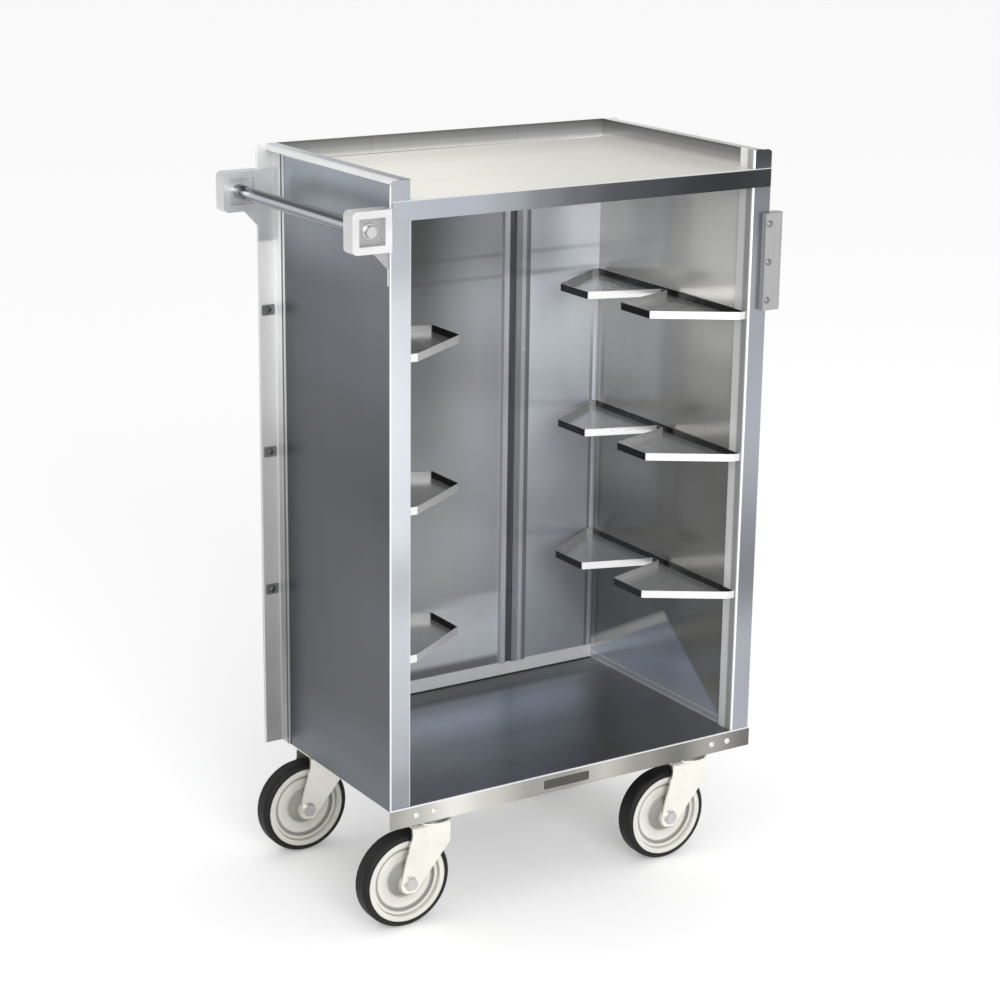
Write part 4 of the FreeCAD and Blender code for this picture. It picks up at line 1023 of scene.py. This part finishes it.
class SetBolts(bpy.types.Operator):
    """Hexagon bolts and nuts of the caster plates, the axles and the handle"""
    bl_idname = "tray_cart.set_bolts"
    bl_label = "Set the bolts"

    def execute(self, context):
        sizes = context.scene.cart_fasteners
        metal = plated_steel("bolt_metal", context.scene.cart_colours.bolt)
        bolts = solids("caster_plate_bolts")
        fasten("bolts_caster_plates", "cabinet", "bolt", [
            Row(bolts, DOWN, "hex_head", sizes.plate_bolt_width, sizes.plate_bolt_head, metal, "shank",
                sizes.plate_bolt_shank, math.tau),
            Row(bolts, UP, "hex_head", sizes.plate_bolt_width, sizes.plate_nut_height, metal,
                most_turn=math.tau, stub=sizes.plate_bolt_stub),
        ], "caster_plate_bolts")
        rows = []
        for boxes, facing in zip(ends(solids("handle_bolts")), (OUT_FRONT, OUT_BACK)):
            washers = [box for box in boxes if thickness(box, facing) < WASHER_LIMIT]
            screws = [box for box in boxes if box not in washers]
            across = washers[0][1].x - washers[0][0].x
            rows.append(Row(washers, facing, "washer", across, thickness(washers[0], facing), metal))
            rows.append(Row(screws, facing, "hex_head", sizes.handle_bolt_width, sizes.handle_bolt_head,
                            metal, "shank", sizes.handle_bolt_shank, math.tau))
        fasten("bolts_handle", "cabinet", "bolt", rows, "handle_bolts")
        for corner in CORNERS:
            self.set_axle(corner, sizes, metal)
        return {"FINISHED"}

    @staticmethod
    def set_axle(corner, sizes, metal):
        bolt, nut = f"axle_bolt_{corner}", f"axle_nut_{corner}"
        bolts, nuts = solids(bolt), solids(nut)
        outward = OUT_FRONT if sum(nuts[0], Vector()).y > sum(bolts[0], Vector()).y else OUT_BACK
        fasten(f"axle_{corner}", f"caster_fork_{corner}", "bolt", [
            Row(bolts, outward, "hex_head", sizes.axle_width, sizes.axle_head, metal, "shank",
                sizes.axle_shank, math.tau),
            Row(nuts, -outward, "hex_head", sizes.axle_width, thickness(nuts[0], outward), metal,
                most_turn=math.tau),
        ], bolt, nut)


class SetNameplate(bpy.types.Operator):
    """Bare dark plate on the front of the base"""
    bl_idname = "tray_cart.set_nameplate"
    bl_label = "Set the nameplate"

    def execute(self, context):
        sizes = context.scene.cart_fasteners
        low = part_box("base_shelf")[0]
        loops = []
        for depth, inset in ((0.0, 0.0), (0.7, 0.0), (1.0, NAMEPLATE_BEVEL)):
            y = low.y - depth * sizes.nameplate_thickness
            corners = rounded_corners(sizes.nameplate_width / 2 - inset, sizes.nameplate_height / 2 - inset,
                                      NAMEPLATE_CORNER)
            loops.append([(across, y, low.z + NAMEPLATE_RISE + up) for across, up in corners])
        mesh = skin("nameplate", loops)
        mesh.materials.append(plated_steel("nameplate_metal", context.scene.cart_colours.nameplate, 0.4))
        item = put("nameplate", mesh)
        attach(item, "cabinet")
        return {"FINISHED"}


def rounded_corners(half_width, half_height, radius, steps=5):
    """Points round a rectangle with rounded corners."""
    points = []
    for quarter, (side, end) in enumerate(((1, 1), (-1, 1), (-1, -1), (1, -1))):
        for step in range(steps + 1):
            angle = math.pi / 2 * (quarter + step / steps)
            points.append((side * (half_width - radius) + radius * math.cos(angle),
                           end * (half_height - radius) + radius * math.sin(angle)))
    return points


class SetStage(bpy.types.Operator):
    """Pale floor, soft light and the camera"""
    bl_idname = "tray_cart.set_stage"
    bl_label = "Set the stage"

    def execute(self, context):
        stage = context.scene.cart_stage
        floor()
        key_lamp(stage.key_power)
        light_world(stage.world_strength)
        context.scene.camera = camera(stage)
        context.scene.view_settings.view_transform = "Standard"
        return {"FINISHED"}


def seen_plainly(board):
    """1 for rays that come from the camera or off shiny metal, 0 for the light that falls on things."""
    camera_ray = board.shader("LightPath", output="Is Camera Ray")
    glossy_ray = board.shader("LightPath", output="Is Glossy Ray")
    return (camera_ray + glossy_ray).clamped()


def floor():
    """A wide disc of nearly white paper that keeps a soft shadow."""
    shape = bmesh.new()
    bmesh.ops.create_circle(shape, cap_ends=True, segments=96, radius=FLOOR_RADIUS)
    mesh = mesh_from("floor", shape)
    bench = Bench("floor_paper")
    seen = seen_plainly(bench)
    tooth = bench.noise((90.0, 90.0, 90.0))
    colour = bench.blend(seen, (0.82, 0.82, 0.82), (0.97, 0.97, 0.97))
    light = (tooth - 0.5) * 0.01 + 1.0
    mesh.materials.append(bench.finish(Base_Color=bench.shaded(colour, light), Roughness=0.9,
                                       Emission_Color=bench.shaded((0.16, 0.16, 0.16), seen),
                                       Emission_Strength=1.0))
    return put("floor", mesh)


def key_lamp(power):
    lamp = bpy.data.lights.new("key_lamp", "AREA")
    lamp.shape = "SQUARE"
    lamp.size = LAMP_SIZE
    lamp.energy = power
    item = put("key_lamp", lamp)
    item.location = LAMP_PLACE
    item.rotation_euler = (Vector(LAMP_AIM) - Vector(LAMP_PLACE)).to_track_quat("-Z", "Y").to_euler()
    return item


def light_world(strength):
    """Even light; the camera and shiny metal see plain white."""
    world = bpy.data.worlds.new("studio")
    bpy.context.scene.world = world
    world.use_nodes = True
    world.node_tree.nodes.clear()
    board = Board(world.node_tree)
    level = seen_plainly(board) * (1.0 - strength) + strength
    background = board.shader("Background", values={"Strength": level})
    board.shader("OutputWorld", values={"Surface": background})


def camera(stage):
    data = bpy.data.cameras.new("camera")
    data.sensor_width = FRAME_WIDTH
    data.lens = stage.focal_length
    data.clip_end = FAR_LIMIT
    item = put("camera", data)
    level = Vector((math.sin(stage.yaw), math.cos(stage.yaw), 0.0))
    ahead = level * math.cos(stage.pitch) - UP * math.sin(stage.pitch)
    right = Vector((math.cos(stage.yaw), -math.sin(stage.yaw), 0.0))
    up = right.cross(ahead)
    turned_right = right * math.cos(stage.roll) + up * math.sin(stage.roll)
    turned_up = up * math.cos(stage.roll) - right * math.sin(stage.roll)
    turn = Matrix((turned_right, turned_up, -ahead)).transposed().to_4x4()
    item.matrix_world = Matrix.Translation((stage.camera_x, stage.camera_y, stage.camera_z)) @ turn
    return item


class CartSidebar(bpy.types.Panel):
    """Lists the steps and the settings"""
    bl_idname = "VIEW3D_PT_tray_cart"
    bl_label = "Tray cart"
    bl_space_type = "VIEW_3D"
    bl_region_type = "UI"
    bl_category = "Tray cart"

    def draw(self, context):
        for step in STEPS:
            self.layout.operator(step.bl_idname)
        for group in (context.scene.cart_colours, context.scene.cart_fasteners, context.scene.cart_stage):
            for name in group.bl_rna.properties.keys():
                if name not in ("rna_type", "name"):
                    self.layout.prop(group, name)


STEPS = (DressPanels, DressPosts, DressShelves, DressLedges, DressHandle, DressBumpers, DressCasters,
         SetRivets, SetClips, SetBolts, SetNameplate, SetStage)
CLASSES = (CartColours, FastenerSizes, StageSettings, *STEPS, CartSidebar)


def register():
    for kind in CLASSES:
        bpy.utils.register_class(kind)
    bpy.types.Scene.cart_colours = PointerProperty(type=CartColours)
    bpy.types.Scene.cart_fasteners = PointerProperty(type=FastenerSizes)
    bpy.types.Scene.cart_stage = PointerProperty(type=StageSettings)


def unregister():
    del bpy.types.Scene.cart_stage
    del bpy.types.Scene.cart_fasteners
    del bpy.types.Scene.cart_colours
    for kind in reversed(CLASSES):
        bpy.utils.unregister_class(kind)


def main():
    register()
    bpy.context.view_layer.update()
    for step in STEPS:
        group, name = step.bl_idname.split(".")
        getattr(getattr(bpy.ops, group), name)()


if __name__ == "__main__":
    main()
